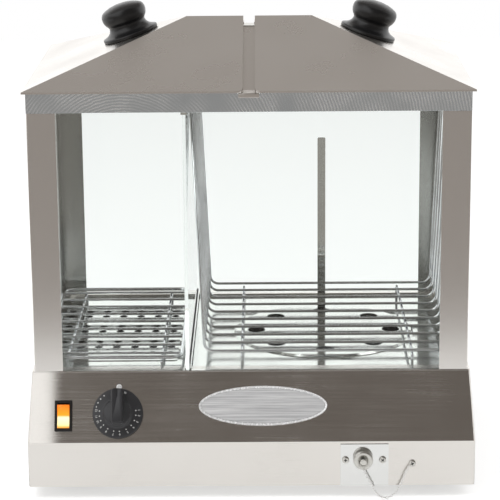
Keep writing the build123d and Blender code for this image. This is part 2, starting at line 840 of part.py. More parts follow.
def juice_tray():
    """The juice tray carries a raised disc with steam holes, and a flat bar to lift it by."""
    z_low = z_ledge + seat_gap
    z_high = z_tray + seat_gap
    sheet = rounded_slab(
        juice_left, well_x - tray_fit, well_front + tray_fit, well_rear - tray_fit, z_low, z_high,
        well_corner - tray_fit,
    )
    low = (Align.CENTER, Align.CENTER, Align.MIN)
    centre = Pos(juice_centre_x, cabinet_y, 0)
    sheet += centre * Pos(0, 0, z_high) * Cone(
        juice_disc_radius, juice_disc_radius - juice_disc_rise, juice_disc_rise, align=low
    )
    sheet -= centre * Pos(0, 0, z_low) * Cone(
        juice_disc_radius - tray_sheet, juice_disc_radius - tray_sheet - juice_disc_rise,
        juice_disc_rise, align=low,
    )
    for place in PolarLocations(juice_hole_circle, juice_hole_count):
        sheet -= centre * Pos(0, 0, z_tray) * place * Cylinder(juice_hole / 2, 8 * tray_sheet)
    parts["juice_tray"] = sheet

    face = lift_bar_offset - lift_bar_sheet / 2
    foot = face + lift_bar_foot
    outline = Polyline(
        (face, 0), (foot, 0), (foot, lift_bar_sheet), (face + lift_bar_sheet, lift_bar_sheet),
        (face + lift_bar_sheet, lift_bar_height), (face, lift_bar_height), close=True,
    )
    bar = extrude(Plane.YZ * make_face(outline), lift_bar_width / 2, both=True)
    heel = bar.edges().filter_by(Axis.X).sort_by_distance((0, face, 0))[0]
    bar = fillet(heel, lift_bar_bend)
    tips = bar.edges().filter_by(Axis.Y).group_by(Axis.Z)[-1]
    bar = fillet(tips, lift_bar_width / 6)
    parts["juice_tray_handle"] = centre * Pos(0, 0, z_high + juice_disc_rise) * bar


def basket():
    """Ten U-shaped wires are welded to two legged rods below and two rods near the top."""
    z_foot = z_tray + 2 * seat_gap
    z_floor = z_tray + basket_floor_height
    z_high = z_top - basket_top_gap
    half_high = (basket_right - basket_left - wire_diameter) / 2
    half_low = half_high - basket_flare
    hoop = wire(
        [(-half_high, 0, z_high), (-half_low, 0, z_floor), (half_low, 0, z_floor), (half_high, 0, z_high)],
        basket_bend, wire_diameter,
    )
    first = cabinet_y - (basket_wire_count - 1) * basket_pitch / 2
    parts["basket_wires"] = [
        Pos(juice_centre_x, first + i * basket_pitch, 0) * hoop for i in range(basket_wire_count)
    ]
    z_rod = z_floor - wire_diameter
    half = basket_reach / 2 - basket_leg_inset
    legged = wire(
        [(0, -half, z_foot), (0, -half, z_rod), (0, half, z_rod), (0, half, z_foot)],
        leg_bend, wire_diameter,
    )
    rods = [
        Pos(juice_centre_x + side * (half_low - basket_rod_inset), cabinet_y, 0) * legged
        for side in (-1, 1)
    ]
    lean = basket_flare / (z_high - z_floor)
    z_bar = z_high - basket_top_rod_drop
    offset = half_low + lean * (z_bar - z_floor) - wire_diameter * hypot(1, lean)
    bar = Rot(90, 0, 0) * Cylinder(wire_diameter / 2, basket_reach)
    rods += [Pos(juice_centre_x + side * offset, cabinet_y, z_bar) * bar for side in (-1, 1)]
    parts["basket_rods"] = rods


def bun_rack():
    """The rack is a closed rim wire with cross wires, on two rods whose ends turn down as legs."""
    z_foot = z_tray + 2 * seat_gap
    z_rim_wire = z_tray + rack_height
    half_x = rack_width / 2
    half_y = rack_length / 2
    centre = Pos(rack_centre_x, cabinet_y, z_rim_wire)
    outline = RectangleRounded(rack_width, rack_length, rack_corner).wire()
    section = Plane(outline @ 0, z_dir=outline % 0) * Circle(rack_rim_diameter / 2)
    parts["bun_rack_rim"] = centre * sweep(section, outline)
    inner = 2 * half_x - rack_rim_diameter
    cross = Rot(0, 90, 0) * Cylinder(wire_diameter / 2, inner)
    first = -(rack_wire_count - 1) * rack_pitch / 2
    parts["bun_rack_wires"] = [
        centre * Pos(0, first + i * rack_pitch, 0) * cross for i in range(rack_wire_count)
    ]
    z_rod = z_rim_wire - wire_diameter
    half = half_y - rack_leg_inset
    legged = wire(
        [(0, -half, z_foot), (0, -half, z_rod), (0, half, z_rod), (0, half, z_foot)],
        leg_bend, wire_diameter,
    )
    middle = rack_centre_x + rack_rod_shift
    parts["bun_rack_rods"] = [
        Pos(middle + side * (half_x - rack_rod_inset), cabinet_y, 0) * legged for side in (-1, 1)
    ]


def roof_half(inset, z_low):
    """Return the right half of the hipped roof down to a level, its faces moved in by the inset."""
    front = lid_front + inset
    rear = lid_rear - inset
    eave = z_eave + inset * tan(front_slope) - inset / cos(front_slope)
    ridge = z_ridge - inset / cos(front_slope)
    gable = make_face(Polyline(
        (front, z_low), (rear, z_low), (rear, eave), (lid_y, ridge), (front, eave), close=True
    ))
    near = lid_inner_x + inset
    far = lid_x - inset
    brow = z_eave + inset * tan(side_slope) - inset / cos(side_slope)
    crest = z_ridge - inset / cos(side_slope)
    over = lid_rise
    side = make_face(Polyline(
        (near, z_low), (far, z_low), (far, brow), (lid_ridge_length / 2, crest),
        (lid_ridge_length / 2 - over / tan(side_slope), crest + over), (near, crest + over), close=True,
    ))
    plan = make_face(Polyline((near, front), (far, front), (far, rear), (near, rear), close=True))
    corners = plan.vertices().group_by(Axis.X)[0]
    plan = fillet(corners, lid_corner - inset)
    body = extrude(Plane.YZ * gable, 2 * lid_x)
    body &= Pos(0, base_depth, 0) * extrude(Plane.XZ * side, 2 * base_depth)
    body &= Pos(0, 0, z_low) * extrude(plan, 2 * lid_rise)
    return body


def strip_line(lift):
    """Return the strip's upper line from front to rear, raised by a height."""
    flat = cabinet_front + strip_flat
    half = strip_apex_length / 2
    return [
        (flat, z_strip + lift), (lid_y - half, z_apex + lift),
        (lid_y + half, z_apex + lift), (2 * lid_y - flat, z_strip + lift),
    ]


def lids():
    """Each lid is a hipped sheet with a hem, an inner lip that clears the strip, and two knuckles."""
    lid = roof_half(0, z_rim) - roof_half(lid_sheet, z_rim - 1)
    under = strip_line(lid_strip_gap)
    low = z_rim - 5
    relief = make_face(Polyline((under[0][0], low), *under, (under[-1][0], low), close=True))
    lip = 4 * lid_sheet
    lid -= Pos(lid_inner_x - lid_sheet, 0, 0) * extrude(Plane.YZ * relief, lip)
    plate_half = hinge_plate_length / 2 + hinge_end_gap
    lid -= block(
        lid_inner_x - lid_sheet, lid_inner_x + 3 * lid_sheet, lid_y - plate_half, lid_y + plate_half,
        z_apex, z_hinge_plate + lid_plate_gap,
    )
    fixed_half = hinge_fixed_length / 2
    inner_end = fixed_half + hinge_end_gap
    barrel = hinge_barrel / 2
    lid -= block(
        lid_inner_x - lid_sheet, lid_inner_x + 3 * lid_sheet, lid_y - inner_end, lid_y + inner_end,
        z_apex, z_hinge + barrel + hinge_end_gap,
    )
    length = hinge_plate_length / 2 - inner_end
    bore = hinge_pin / 2 + hinge_pin_fit
    for side in (-1, 1):
        along = Pos(hinge_axis_x, lid_y + side * (inner_end + length / 2), z_hinge) * Rot(90, 0, 0)
        lid += along * Cylinder(barrel, length)
        lid -= along * Cylinder(bore, length + 2 * hinge_end_gap)
    z_knob = z_ridge - (knob_x - lid_ridge_length / 2) * tan(side_slope)
    seat = Plane(
        origin=(knob_x, lid_y, z_knob), x_dir=(0, 1, 0), z_dir=(sin(side_slope), 0, cos(side_slope))
    )
    head, height, shank = knob_screw
    lid -= seat * screw_hole(shank, 4 * lid_sheet)
    bolt = seat * Pos(0, 0, -lid_sheet) * Rot(180, 0, 0) * screw(*knob_screw, lid_sheet + knob_screw_depth)
    grip = seat * knob()
    parts["right_lid"] = lid
    parts["right_lid_knob"] = grip
    parts["right_knob_screw"] = bolt
    parts["left_lid"] = mirror(lid, Plane.YZ)
    parts["left_lid_knob"] = mirror(grip, Plane.YZ)
    parts["left_knob_screw"] = mirror(bolt, Plane.YZ)


def knob():
    """Return a turned knob on Z = 0: a flange, a flared neck, a bulged grip and a domed top."""
    flange = knob_flange / 2
    neck = knob_neck / 2
    grip = knob_grip / 2
    bore = knob_screw[2] / 2 + screw_fit
    edge = knob_edge
    shoulder = knob_flange_height
    round_share = 0.3
    low_round = (flange - edge * round_share, edge * round_share)
    high_round = (low_round[0], shoulder - low_round[1])
    skirt = Line((bore, 0), (flange - edge, 0))
    toe = ThreePointArc((flange - edge, 0), low_round, (flange, edge))
    rim = Line((flange, edge), (flange, shoulder - edge))
    crown = ThreePointArc((flange, shoulder - edge), high_round, (flange - edge, shoulder))
    flare_point = (neck + knob_flare[0], (shoulder + knob_neck_height) / 2 - knob_flare[1])
    flare = ThreePointArc((flange - edge, shoulder), flare_point, (neck, knob_neck_height))
    bulge_point = (grip - knob_bulge[0], (knob_neck_height + knob_grip_height) / 2 - knob_bulge[1])
    bulge = ThreePointArc((neck, knob_neck_height), bulge_point, (grip, knob_grip_height))
    brow = (grip - knob_brow, knob_height - knob_crown)
    brow_point = (grip - knob_shoulder[0], (knob_grip_height + brow[1]) / 2 + knob_shoulder[1])
    shoulder_arc = ThreePointArc((grip, knob_grip_height), brow_point, brow)
    sphere = (brow[0] ** 2 + knob_crown**2) / (2 * knob_crown)
    half_turn = asin(brow[0] / sphere) / 2
    middle = (sphere * sin(half_turn), knob_height - sphere * (1 - cos(half_turn)))
    dome = ThreePointArc(brow, middle, (0, knob_height))
    bore_end = knob_screw_depth + knob_screw_gap
    core = Line((0, knob_height), (0, bore_end))
    socket = Polyline((0, bore_end), (bore, bore_end), (bore, 0))
    outline = make_face([skirt, toe, rim, crown, flare, bulge, shoulder_arc, dome, core, socket])
    return revolve(Plane.XZ * outline, Axis.Z)


def strip_and_hinges():
    """The folded strip spans from rail to rail and carries the lids' hinge plate at its apex."""
    upper = strip_line(0)
    face = cabinet_front - strip_sheet
    back = cabinet_rear + strip_sheet
    low = z_strip - strip_front_drop
    run = upper[1][0] - upper[0][0]
    pitch = atan2(z_apex - z_strip, run)
    shift = strip_sheet * tan(pitch / 2)
    under = [
        (upper[3][0] - shift, z_strip - strip_sheet), (upper[2][0] - shift, z_apex - strip_sheet),
        (upper[1][0] + shift, z_apex - strip_sheet), (upper[0][0] + shift, z_strip - strip_sheet),
    ]
    outline = Polyline(
        (face, low), (face, z_strip), *upper, (back, z_strip), (back, low), (cabinet_rear, low),
        (cabinet_rear, z_strip - strip_sheet), *under, (cabinet_front, z_strip - strip_sheet),
        (cabinet_front, low), close=True,
    )
    strip = extrude(Plane.YZ * make_face(outline), strip_width / 2, both=True)
    outer = strip.edges().filter_by(Axis.X).group_by(Axis.Y)
    strip = fillet([outer[0].sort_by(Axis.Z)[-1], outer[-1].sort_by(Axis.Z)[-1]], strip_sheet)
    parts["centre_strip"] = strip

    half = hinge_plate_length / 2
    plate = block(-strip_width / 2, strip_width / 2, lid_y - half, lid_y + half, z_apex, z_hinge_plate)
    pins = []
    fixed = hinge_fixed_length / 2
    for side in (-1, 1):
        x = side * hinge_axis_x
        axis = Pos(x, lid_y, z_hinge) * Rot(90, 0, 0)
        plate += block(
            x - hinge_web / 2, x + hinge_web / 2, lid_y - fixed, lid_y + fixed, z_hinge_plate, z_hinge
        )
        plate += axis * Cylinder(hinge_barrel / 2, hinge_fixed_length)
        plate -= axis * Cylinder(hinge_pin / 2 + hinge_pin_fit, hinge_fixed_length)
        pins.append(axis * Cylinder(hinge_pin / 2, hinge_plate_length))
    parts["hinge_plate"] = plate
    parts["hinge_pins"] = pins


def switch():
    """The rocker tips on a pin in the switch body, whose bezel lies on the panel."""
    place = panel * Pos(switch_x, switch_slope, 0)
    low = (Align.CENTER, Align.CENTER, Align.MIN)
    high = (Align.CENTER, Align.CENTER, Align.MAX)
    width, height, thickness = switch_bezel
    bezel = Box(width, height, thickness, align=low)
    bezel = fillet(bezel.edges().filter_by(Axis.Z), 1.0)
    bezel = fillet(bezel.faces().sort_by(Axis.Z)[-1].edges(), 0.6)
    body = bezel + Box(*switch_body, align=high)
    slot_x = rocker_width + 2 * rocker_side_fit
    slot_y = rocker_length + 2 * rocker_end_fit
    slot_depth = rocker_depth + rocker_pivot_depth
    body -= Pos(0, 0, thickness) * Box(slot_x, slot_y, thickness + slot_depth, align=high)
    axis = Pos(0, 0, -rocker_pivot_depth) * Rot(0, 90, 0)
    length = slot_x + 2 * rocker_pin_grip
    body -= axis * Cylinder(rocker_pin / 2, length)
    parts["switch_housing"] = place * body
    parts["switch_pin"] = place * axis * Cylinder(rocker_pin / 2, length)

    half = rocker_length / 2
    top = rocker_end_height + rocker_pivot_depth
    waist = top - rocker_dip
    deep = top - rocker_depth
    keel = rocker_keel / 2
    side = half - rocker_draft
    outline = make_face(Polyline(
        (-half, top), (0, waist), (half, top), (side, top - rocker_lip), (keel, deep), (-keel, deep),
        (-side, top - rocker_lip), close=True,
    ))
    tips = outline.vertices().group_by(Axis.Y)[-1]
    outline = fillet(tips, rocker_edge)
    rocker = extrude(Plane.YZ * outline, rocker_width / 2, both=True)
    rocker -= Rot(0, 90, 0) * Cylinder(rocker_pin / 2 + rocker_pin_fit, 2 * rocker_width)
    pivot = place * Pos(0, 0, -rocker_pivot_depth)
    parts["switch_rocker"] = pivot * Rot(rocker_tilt, 0, 0) * rocker


def thermostat():
    """The dial turns the thermostat's shaft; its bulb lies under the pan at the end of a fine tube."""
    place = panel * Pos(dial_x, dial_slope, 0)
    low = (Align.CENTER, Align.CENTER, Align.MIN)
    high = (Align.CENTER, Align.CENTER, Align.MAX)
    body = Pos(0, 0, -panel_wall) * Box(*thermostat_size, align=high)
    body = fillet(body.edges().filter_by(Axis.Z), 3)
    body += Pos(0, 0, -panel_wall) * Cylinder(bushing_diameter / 2, panel_wall + bushing_height, align=low)
    bottom_of_bore = -panel_wall - shaft_depth
    bore = Cylinder(shaft_diameter / 2 + shaft_fit, shaft_depth + panel_wall + 2 * bushing_height, align=low)
    body -= Pos(0, 0, bottom_of_bore) * bore
    parts["thermostat_body"] = place * body
    shaft = Cylinder(shaft_diameter / 2, shaft_reach - bottom_of_bore - shaft_fit, align=low)
    parts["thermostat_shaft"] = place * Pos(0, 0, bottom_of_bore + shaft_fit) * shaft

    radius = dial_diameter / 2
    hub = dial_hub / 2
    rim_top = dial_gap + dial_rim
    bore_radius = shaft_diameter / 2 + shaft_fit
    disc = revolve(Plane.XZ * make_face(Polyline(
        (0, dial_gap), (radius, dial_gap), (radius, rim_top - 0.4), (radius - 0.8, rim_top),
        (hub, dial_dish), (hub, dial_hub_height - 1), (hub - 1, dial_hub_height), (0, dial_hub_height),
        close=True,
    )), Axis.Z)
    grip_width, grip_length = dial_grip
    grip = extrude(
        Pos(0, dial_grip_shift, dial_gap) * RectangleRounded(grip_width, grip_length, 2.5),
        dial_grip_height - dial_gap, taper=2.5,
    )
    grip = fillet(grip.faces().sort_by(Axis.Z)[-1].edges(), 1.0)
    dial = disc + grip
    z_high = dial_grip_height
    groove_y = dial_grip_shift + grip_length / 2
    dial -= Pos(0, groove_y, z_high) * Box(dial_groove, grip_length / 2, dial_groove)
    dial -= Pos(0, 0, -1) * Cylinder(bore_radius, shaft_reach + 1 + shaft_fit, align=low)
    dial -= Cylinder(bushing_diameter / 2 + bushing_fit, dial_gap + bushing_height, align=low)
    parts["thermostat_dial"] = place * dial
    stud = Cylinder(stud_diameter / 2, stud_height, align=low)
    stud = fillet(stud.edges().group_by(Axis.Z)[-1], 0.8 * stud_height)
    parts["dial_index_stud"] = place * Pos(stud_shift, stud_distance, 0) * stud

    z_bulb = z_pan - bulb_gap - bulb_diameter / 2
    bulb_front = pan_front + 2 * pan_corner
    bulb = Pos(dial_x, bulb_front, z_bulb) * Rot(-90, 0, 0) * Cylinder(
        bulb_diameter / 2, bulb_length, align=low
    )
    back = place * Pos(0, -thermostat_size[1] / 4, -panel_wall - thermostat_size[2])
    inward = Vector(0, cos(panel_lean), -sin(panel_lean))
    fine = wire(
        [
            back.position, back.position + inward * capillary_exit,
            Vector(dial_x, pan_front - capillary_clearance, z_bulb), Vector(dial_x, bulb_front, z_bulb),
        ],
        capillary_bend, capillary_diameter,
    )
    parts["thermostat_bulb"] = bulb + fine


def badge():
    """The oval badge is a blank plate with a raised rim, stuck to the panel."""
    place = panel * Pos(badge_x, badge_slope, 0)
    outer = Ellipse(badge_width / 2, badge_height / 2)
    inner = Ellipse(badge_width / 2 - badge_rim, badge_height / 2 - badge_rim)
    plate = extrude(outer, badge_sheet + badge_rim_height)
    plate -= Pos(0, 0, badge_sheet) * extrude(inner, 2 * badge_rim_height)
    parts["badge_plate"] = place * plate


base_shell()
bottom()
deck()
water_pan()
element()
drain()
drain_cap()
chain()
gland()
posts()
rails()
glass()
divider()
bun_tray()
juice_tray()
basket()
bun_rack()
lids()
strip_and_hinges()
switch()
thermostat()
badge()

os.makedirs("parts", exist_ok=True)
for name, shape in parts.items():
    group = Compound(children=list(shape)) if isinstance(shape, list) else shape
    export_step(group, f"parts/{name}.step")
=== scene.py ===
import math

import bmesh
import bpy
from mathutils import Matrix, Vector


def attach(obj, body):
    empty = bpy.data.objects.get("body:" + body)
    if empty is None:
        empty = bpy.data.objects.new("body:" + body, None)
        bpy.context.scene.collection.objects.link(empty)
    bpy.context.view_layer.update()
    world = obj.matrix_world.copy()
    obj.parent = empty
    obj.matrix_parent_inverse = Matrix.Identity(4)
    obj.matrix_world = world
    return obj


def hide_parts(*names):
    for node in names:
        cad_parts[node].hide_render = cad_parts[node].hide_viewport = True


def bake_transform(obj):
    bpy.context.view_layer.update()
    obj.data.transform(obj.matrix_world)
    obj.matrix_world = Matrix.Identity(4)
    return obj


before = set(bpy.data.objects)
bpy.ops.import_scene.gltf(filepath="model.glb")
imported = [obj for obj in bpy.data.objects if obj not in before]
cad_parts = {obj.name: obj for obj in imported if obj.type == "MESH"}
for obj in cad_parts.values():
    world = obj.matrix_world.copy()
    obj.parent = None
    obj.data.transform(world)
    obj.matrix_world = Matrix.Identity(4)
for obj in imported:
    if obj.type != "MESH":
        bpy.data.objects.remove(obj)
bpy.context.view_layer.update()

# Camera: a long lens, a little above the roof and almost square to the front.
sight = Vector((-0.001187, 0.025, 0.219207))
distance = 2.341356
yaw, pitch, roll = (math.radians(angle) for angle in (-0.428, 14.482, -0.476))
forward = Vector((math.sin(yaw) * math.cos(pitch), math.cos(yaw) * math.cos(pitch), -math.sin(pitch)))
level = Vector((math.cos(yaw), -math.sin(yaw), 0))
upward = level.cross(forward)
across = level * math.cos(roll) + upward * math.sin(roll)
upright = upward * math.cos(roll) - level * math.sin(roll)
lens = bpy.data.cameras.new("camera")
lens.lens = 150.14
lens.sensor_width = 36
lens.clip_start = 0.1
lens.clip_end = 60
camera = bpy.data.objects.new("camera", lens)
bpy.context.scene.collection.objects.link(camera)
turn = Matrix((across, upright, -forward)).transposed().to_4x4()
camera.matrix_world = Matrix.Translation(sight - forward * distance) @ turn
bpy.context.scene.camera = camera
bpy.context.scene.view_settings.view_transform = "Standard"


# Drain cap's chain: a fine cable chain of soldered oval links, nickel plated.
# It hangs from the ring in the cap and is held on the skirt under a screw.
def linear(colour):
    """Return an sRGB hex colour as the linear colour that a shader takes."""
    shares = [int(colour[i:i + 2], 16) / 255 for i in (1, 3, 5)]
    return [s / 12.92 if s <= 0.04045 else ((s + 0.055) / 1.055) ** 2.4 for s in shares] + [1.0]


def add_node(tree, kind, inputs=None, **settings):
    """Add a node, set its options, and set or link its inputs."""
    node = tree.nodes.new(kind)
    for name, value in settings.items():
        setattr(node, name, value)
    for socket, value in (inputs or {}).items():
        if isinstance(value, bpy.types.NodeSocket):
            tree.links.new(value, node.inputs[socket])
        else:
            node.inputs[socket].default_value = value
    return node


def blank_material(name):
    """Return a new material and its empty node tree."""
    material = bpy.data.materials.new(name)
    material.use_nodes = True
    material.node_tree.nodes.clear()
    return material, material.node_tree


def new_piece(name, shape, material):
    """Turn a bmesh into an object of that name and material."""
    mesh = bpy.data.meshes.new(name)
    shape.to_mesh(mesh)
    shape.free()
    mesh.materials.append(material)
    piece = bpy.data.objects.new(name, mesh)
    bpy.context.scene.collection.objects.link(piece)
    return piece


# Nickel-plated steel, barrel polished: bright, with small dents in its gloss.
nickel, tree = blank_material("nickel_plated_chain")
spots = add_node(tree, "ShaderNodeTexNoise", {
    "Vector": add_node(tree, "ShaderNodeTexCoord").outputs["Object"], "Scale": 900.0})
shine = add_node(tree, "ShaderNodeMapRange", {
    "Value": spots.outputs["Fac"], "To Min": 0.16, "To Max": 0.42})
shader = add_node(tree, "ShaderNodeBsdfPrincipled", {
    "Base Color": linear("#f2f1ef"), "Metallic": 0.55, "Roughness": shine.outputs["Result"]})
add_node(tree, "ShaderNodeOutputMaterial", {"Surface": shader.outputs["BSDF"]})

chain_route = (
    (0.1182, -0.1859, 0.0339), (0.1209, -0.1850, 0.0270), (0.1260, -0.1842, 0.0180),
    (0.1300, -0.1832, 0.0087), (0.1365, -0.1824, 0.0027), (0.1460, -0.1816, 0.0029),
    (0.1540, -0.1808, 0.0110), (0.1583, -0.1800, 0.0206), (0.1620, -0.1792, 0.0310),
    (0.1650, -0.1782, 0.0354),
)
line = bpy.data.curves.new("chain_line", "CURVE")
line.dimensions = "3D"
line.resolution_u = 24
spline = line.splines.new("NURBS")
spline.points.add(len(chain_route) - 1)
for point, place in zip(spline.points, chain_route):
    point.co = (*place, 1)
spline.order_u = 3
spline.use_endpoint_u = True
line_object = bpy.data.objects.new("chain_line", line)
line_mesh = bpy.data.meshes.new_from_object(line_object)
chain_path = [vertex.co.copy() for vertex in line_mesh.vertices]
bpy.data.objects.remove(line_object)

link_wire = 0.0004
link_half = 0.00093
link_stretch = 0.0007
link_pitch = 0.0026
link_lean = 8
first_link = 0.0006
last_link = 0.0002
link_shape = bmesh.new()
bmesh.ops.create_circle(
    link_shape, segments=6, radius=link_wire,
    matrix=Matrix.Translation((link_half, 0, 0)) @ Matrix.Rotation(math.radians(90), 4, "X"))
bmesh.ops.spin(
    link_shape, geom=link_shape.verts[:] + link_shape.edges[:], cent=(0, 0, 0), axis=(0, 0, 1),
    angle=math.tau, steps=14, use_merge=True)
bmesh.ops.remove_doubles(link_shape, verts=link_shape.verts, dist=1e-7)
for vertex in link_shape.verts:
    vertex.co.y += math.copysign(link_stretch, vertex.co.y) if abs(vertex.co.y) > 1e-6 else 0
bmesh.ops.recalc_face_normals(link_shape, faces=link_shape.faces)
link_mesh = bpy.data.meshes.new("chain_link")
link_shape.to_mesh(link_mesh)
link_shape.free()

steps = [0.0]
for before, after in zip(chain_path, chain_path[1:]):
    steps.append(steps[-1] + (after - before).length)
count = int(steps[-1] / link_pitch)
chain_shape = bmesh.new()
for index in range(count + 1):
    reach = min(index * link_pitch + first_link, steps[-1] - last_link)
    at = max(i for i, s in enumerate(steps) if s <= reach)
    at = min(at, len(chain_path) - 2)
    share = (reach - steps[at]) / max(steps[at + 1] - steps[at], 1e-9)
    place = chain_path[at].lerp(chain_path[at + 1], share)
    along = (chain_path[at + 1] - chain_path[at]).normalized()
    side = along.cross(Vector((0, 1, 0))).normalized()
    tilt = Matrix((side, along, side.cross(along))).transposed().to_4x4()
    twist = Matrix.Rotation(math.radians(90 * (index % 2) - link_lean), 4, "Y")
    copy = link_mesh.copy()
    copy.transform(Matrix.Translation(place) @ tilt @ twist)
    chain_shape.from_mesh(copy)
    bpy.data.meshes.remove(copy)
for face in chain_shape.faces:
    face.smooth = True
chain = new_piece("chain_links", chain_shape, nickel)
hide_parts("drain_chain")
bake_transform(chain)


# Base housing: front, sides and rear of stainless sheet, folded and butted at the seams.
# The front leans back into the control panel; the deck closes the top round the well.
def folded_copy(name, nodes, edge, material, body):
    """Return a welded copy of sheet nodes whose edges and folds are rounded."""
    whole = bmesh.new()
    for node in nodes:
        shape = bmesh.new()
        shape.from_mesh(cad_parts[node].data)
        bmesh.ops.remove_doubles(shape, verts=shape.verts, dist=2e-6)
        bmesh.ops.dissolve_limit(
            shape, angle_limit=math.radians(0.6), verts=shape.verts, edges=shape.edges)
        mesh = bpy.data.meshes.new("welded")
        shape.to_mesh(mesh)
        shape.free()
        whole.from_mesh(mesh)
        bpy.data.meshes.remove(mesh)
    piece = new_piece(name, whole, material)
    rounding = piece.modifiers.new("edge_round", "BEVEL")
    rounding.width = edge
    rounding.segments = 2
    rounding.limit_method = "ANGLE"
    rounding.angle_limit = math.radians(18)
    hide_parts(*nodes)
    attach(piece, body)
    return piece


# Brushed stainless, 180 grit, laid from side to side. The true lines are 0.1 mm apart;
# they are drawn 0.7 mm apart to show. Rubbing leaves broad soft patches in the gloss, and folding
# the sides has bowed the last 35 mm of the front sheet a little.
brushed, tree = blank_material("brushed_stainless")
place = add_node(tree, "ShaderNodeTexCoord").outputs["Object"]
lines = add_node(tree, "ShaderNodeTexNoise", {
    "Vector": add_node(tree, "ShaderNodeMapping", {
        "Vector": place, "Scale": (9.0, 1400.0, 1400.0)}).outputs["Vector"],
    "Scale": 1.0, "Detail": 4.0, "Roughness": 0.6})
patches = add_node(tree, "ShaderNodeTexNoise", {"Vector": place, "Scale": 17.0, "Detail": 3.0})
gloss = add_node(tree, "ShaderNodeMapRange", {
    "Value": patches.outputs["Fac"], "From Min": 0.3, "From Max": 0.7, "To Min": 0.17, "To Max": 0.25})
streak = add_node(tree, "ShaderNodeMapRange", {
    "Value": lines.outputs["Fac"], "From Min": 0.3, "From Max": 0.7, "To Min": -0.06, "To Max": 0.06})
rough = add_node(tree, "ShaderNodeMath", {
    0: gloss.outputs["Result"], 1: streak.outputs["Result"]}, operation="ADD")
tone = add_node(tree, "ShaderNodeMix", {
    "Factor": lines.outputs["Fac"], "A": linear("#cfcbc6"), "B": linear("#dedbd6")}, data_type="RGBA")
width = add_node(tree, "ShaderNodeMath", {
    0: add_node(tree, "ShaderNodeSeparateXYZ", {"Vector": place}).outputs["X"]}, operation="ABSOLUTE")
end = add_node(tree, "ShaderNodeMath", {0: width.outputs["Value"], 1: 0.197}, operation="SUBTRACT")
end = add_node(tree, "ShaderNodeMath", {0: end.outputs["Value"], 1: 0.0}, operation="MAXIMUM")
fall = add_node(tree, "ShaderNodeMath", {
    0: end.outputs["Value"], 1: end.outputs["Value"]}, operation="MULTIPLY")
fall = add_node(tree, "ShaderNodeMath", {0: fall.outputs["Value"], 1: -4.0}, operation="MULTIPLY")
bow = add_node(tree, "ShaderNodeBump", {
    "Height": fall.outputs["Value"], "Strength": 1.0, "Distance": 1.0})
relief = add_node(tree, "ShaderNodeBump", {
    "Height": lines.outputs["Fac"], "Strength": 0.3, "Distance": 0.00006,
    "Normal": bow.outputs["Normal"]})
shader = add_node(tree, "ShaderNodeBsdfPrincipled", {
    "Base Color": tone.outputs["Result"], "Metallic": 1.0, "Roughness": rough.outputs["Value"],
    "Normal": relief.outputs["Normal"]})
add_node(tree, "ShaderNodeOutputMaterial", {"Surface": shader.outputs["BSDF"]})

base_sheets = ["base_front", "base_left", "base_right", "base_rear"]
base_edge, deck_edge = 0.0005, 0.0004
folded_copy("base_housing", base_sheets, base_edge, brushed, "cabinet_body")
folded_copy("deck", ["deck_frame"], deck_edge, brushed, "cabinet_body")

# Cabinet frame: four folded angle posts and four rails of ground stainless sheet.
# Grinding leaves curved ripples, pitch 0.3 mm in truth, drawn at 1.6 mm, and a fine grit.
ground, tree = blank_material("swirl_ground_stainless")
place = add_node(tree, "ShaderNodeTexCoord").outputs["Object"]
wave = add_node(tree, "ShaderNodeTexWave", {
    "Vector": place, "Scale": 200.0, "Distortion": 9.0, "Detail": 1.0, "Detail Scale": 0.25})
grit = add_node(tree, "ShaderNodeTexNoise", {"Vector": place, "Scale": 700.0, "Detail": 2.0})
mark = add_node(tree, "ShaderNodeMath", {
    0: wave.outputs["Fac"], 1: grit.outputs["Fac"]}, operation="MULTIPLY")
rough = add_node(tree, "ShaderNodeMapRange", {
    "Value": mark.outputs["Value"], "From Min": 0.0, "From Max": 0.7, "To Min": 0.21, "To Max": 0.27})
relief = add_node(tree, "ShaderNodeBump", {
    "Height": mark.outputs["Value"], "Strength": 0.06, "Distance": 0.00004})
shader = add_node(tree, "ShaderNodeBsdfPrincipled", {
    "Base Color": linear("#d6d3cf"), "Metallic": 1.0, "Roughness": rough.outputs["Result"],
    "Normal": relief.outputs["Normal"]})
add_node(tree, "ShaderNodeOutputMaterial", {"Surface": shader.outputs["BSDF"]})
frame_edge = 0.0003
for side in ("front_left", "front_right", "rear_left", "rear_right"):
    folded_copy(
        f"angle_post_{side}", [f"post_{side}"], frame_edge, ground, "cabinet_body")

# The rails were dressed with a hand disc, which leaves wide arcs about 3 mm apart; their cool blue tint
# is a painted reflection.
arc_ground, tree = blank_material("disc_dressed_stainless")
place = add_node(tree, "ShaderNodeTexCoord").outputs["Object"]
arcs = add_node(tree, "ShaderNodeTexWave", {
    "Vector": add_node(tree, "ShaderNodeMapping", {
        "Vector": place, "Location": (0.13, 0.14, -0.345)}).outputs["Vector"],
    "Scale": 100.0, "Distortion": 2.5, "Detail": 2.0, "Detail Scale": 1.2},
    wave_type="RINGS", rings_direction="Y")
spread = add_node(tree, "ShaderNodeTexNoise", {"Vector": place, "Scale": 22.0, "Detail": 2.0})
spread = add_node(tree, "ShaderNodeMapRange", {
    "Value": spread.outputs["Fac"], "From Min": 0.38, "From Max": 0.62})
mark = add_node(tree, "ShaderNodeMath", {
    0: arcs.outputs["Fac"], 1: spread.outputs["Result"]}, operation="MULTIPLY")
# The arcs are the disc's marks; the blue tint of both colours is a painted cool reflection.
tone = add_node(tree, "ShaderNodeMix", {
    "Factor": mark.outputs["Value"], "A": linear("#cdd5da"), "B": linear("#f1f6f9")}, data_type="RGBA")
rough = add_node(tree, "ShaderNodeMapRange", {
    "Value": mark.outputs["Value"], "To Min": 0.18, "To Max": 0.32})
shader = add_node(tree, "ShaderNodeBsdfPrincipled", {
    "Base Color": tone.outputs["Result"], "Metallic": 1.0, "Roughness": rough.outputs["Result"]})
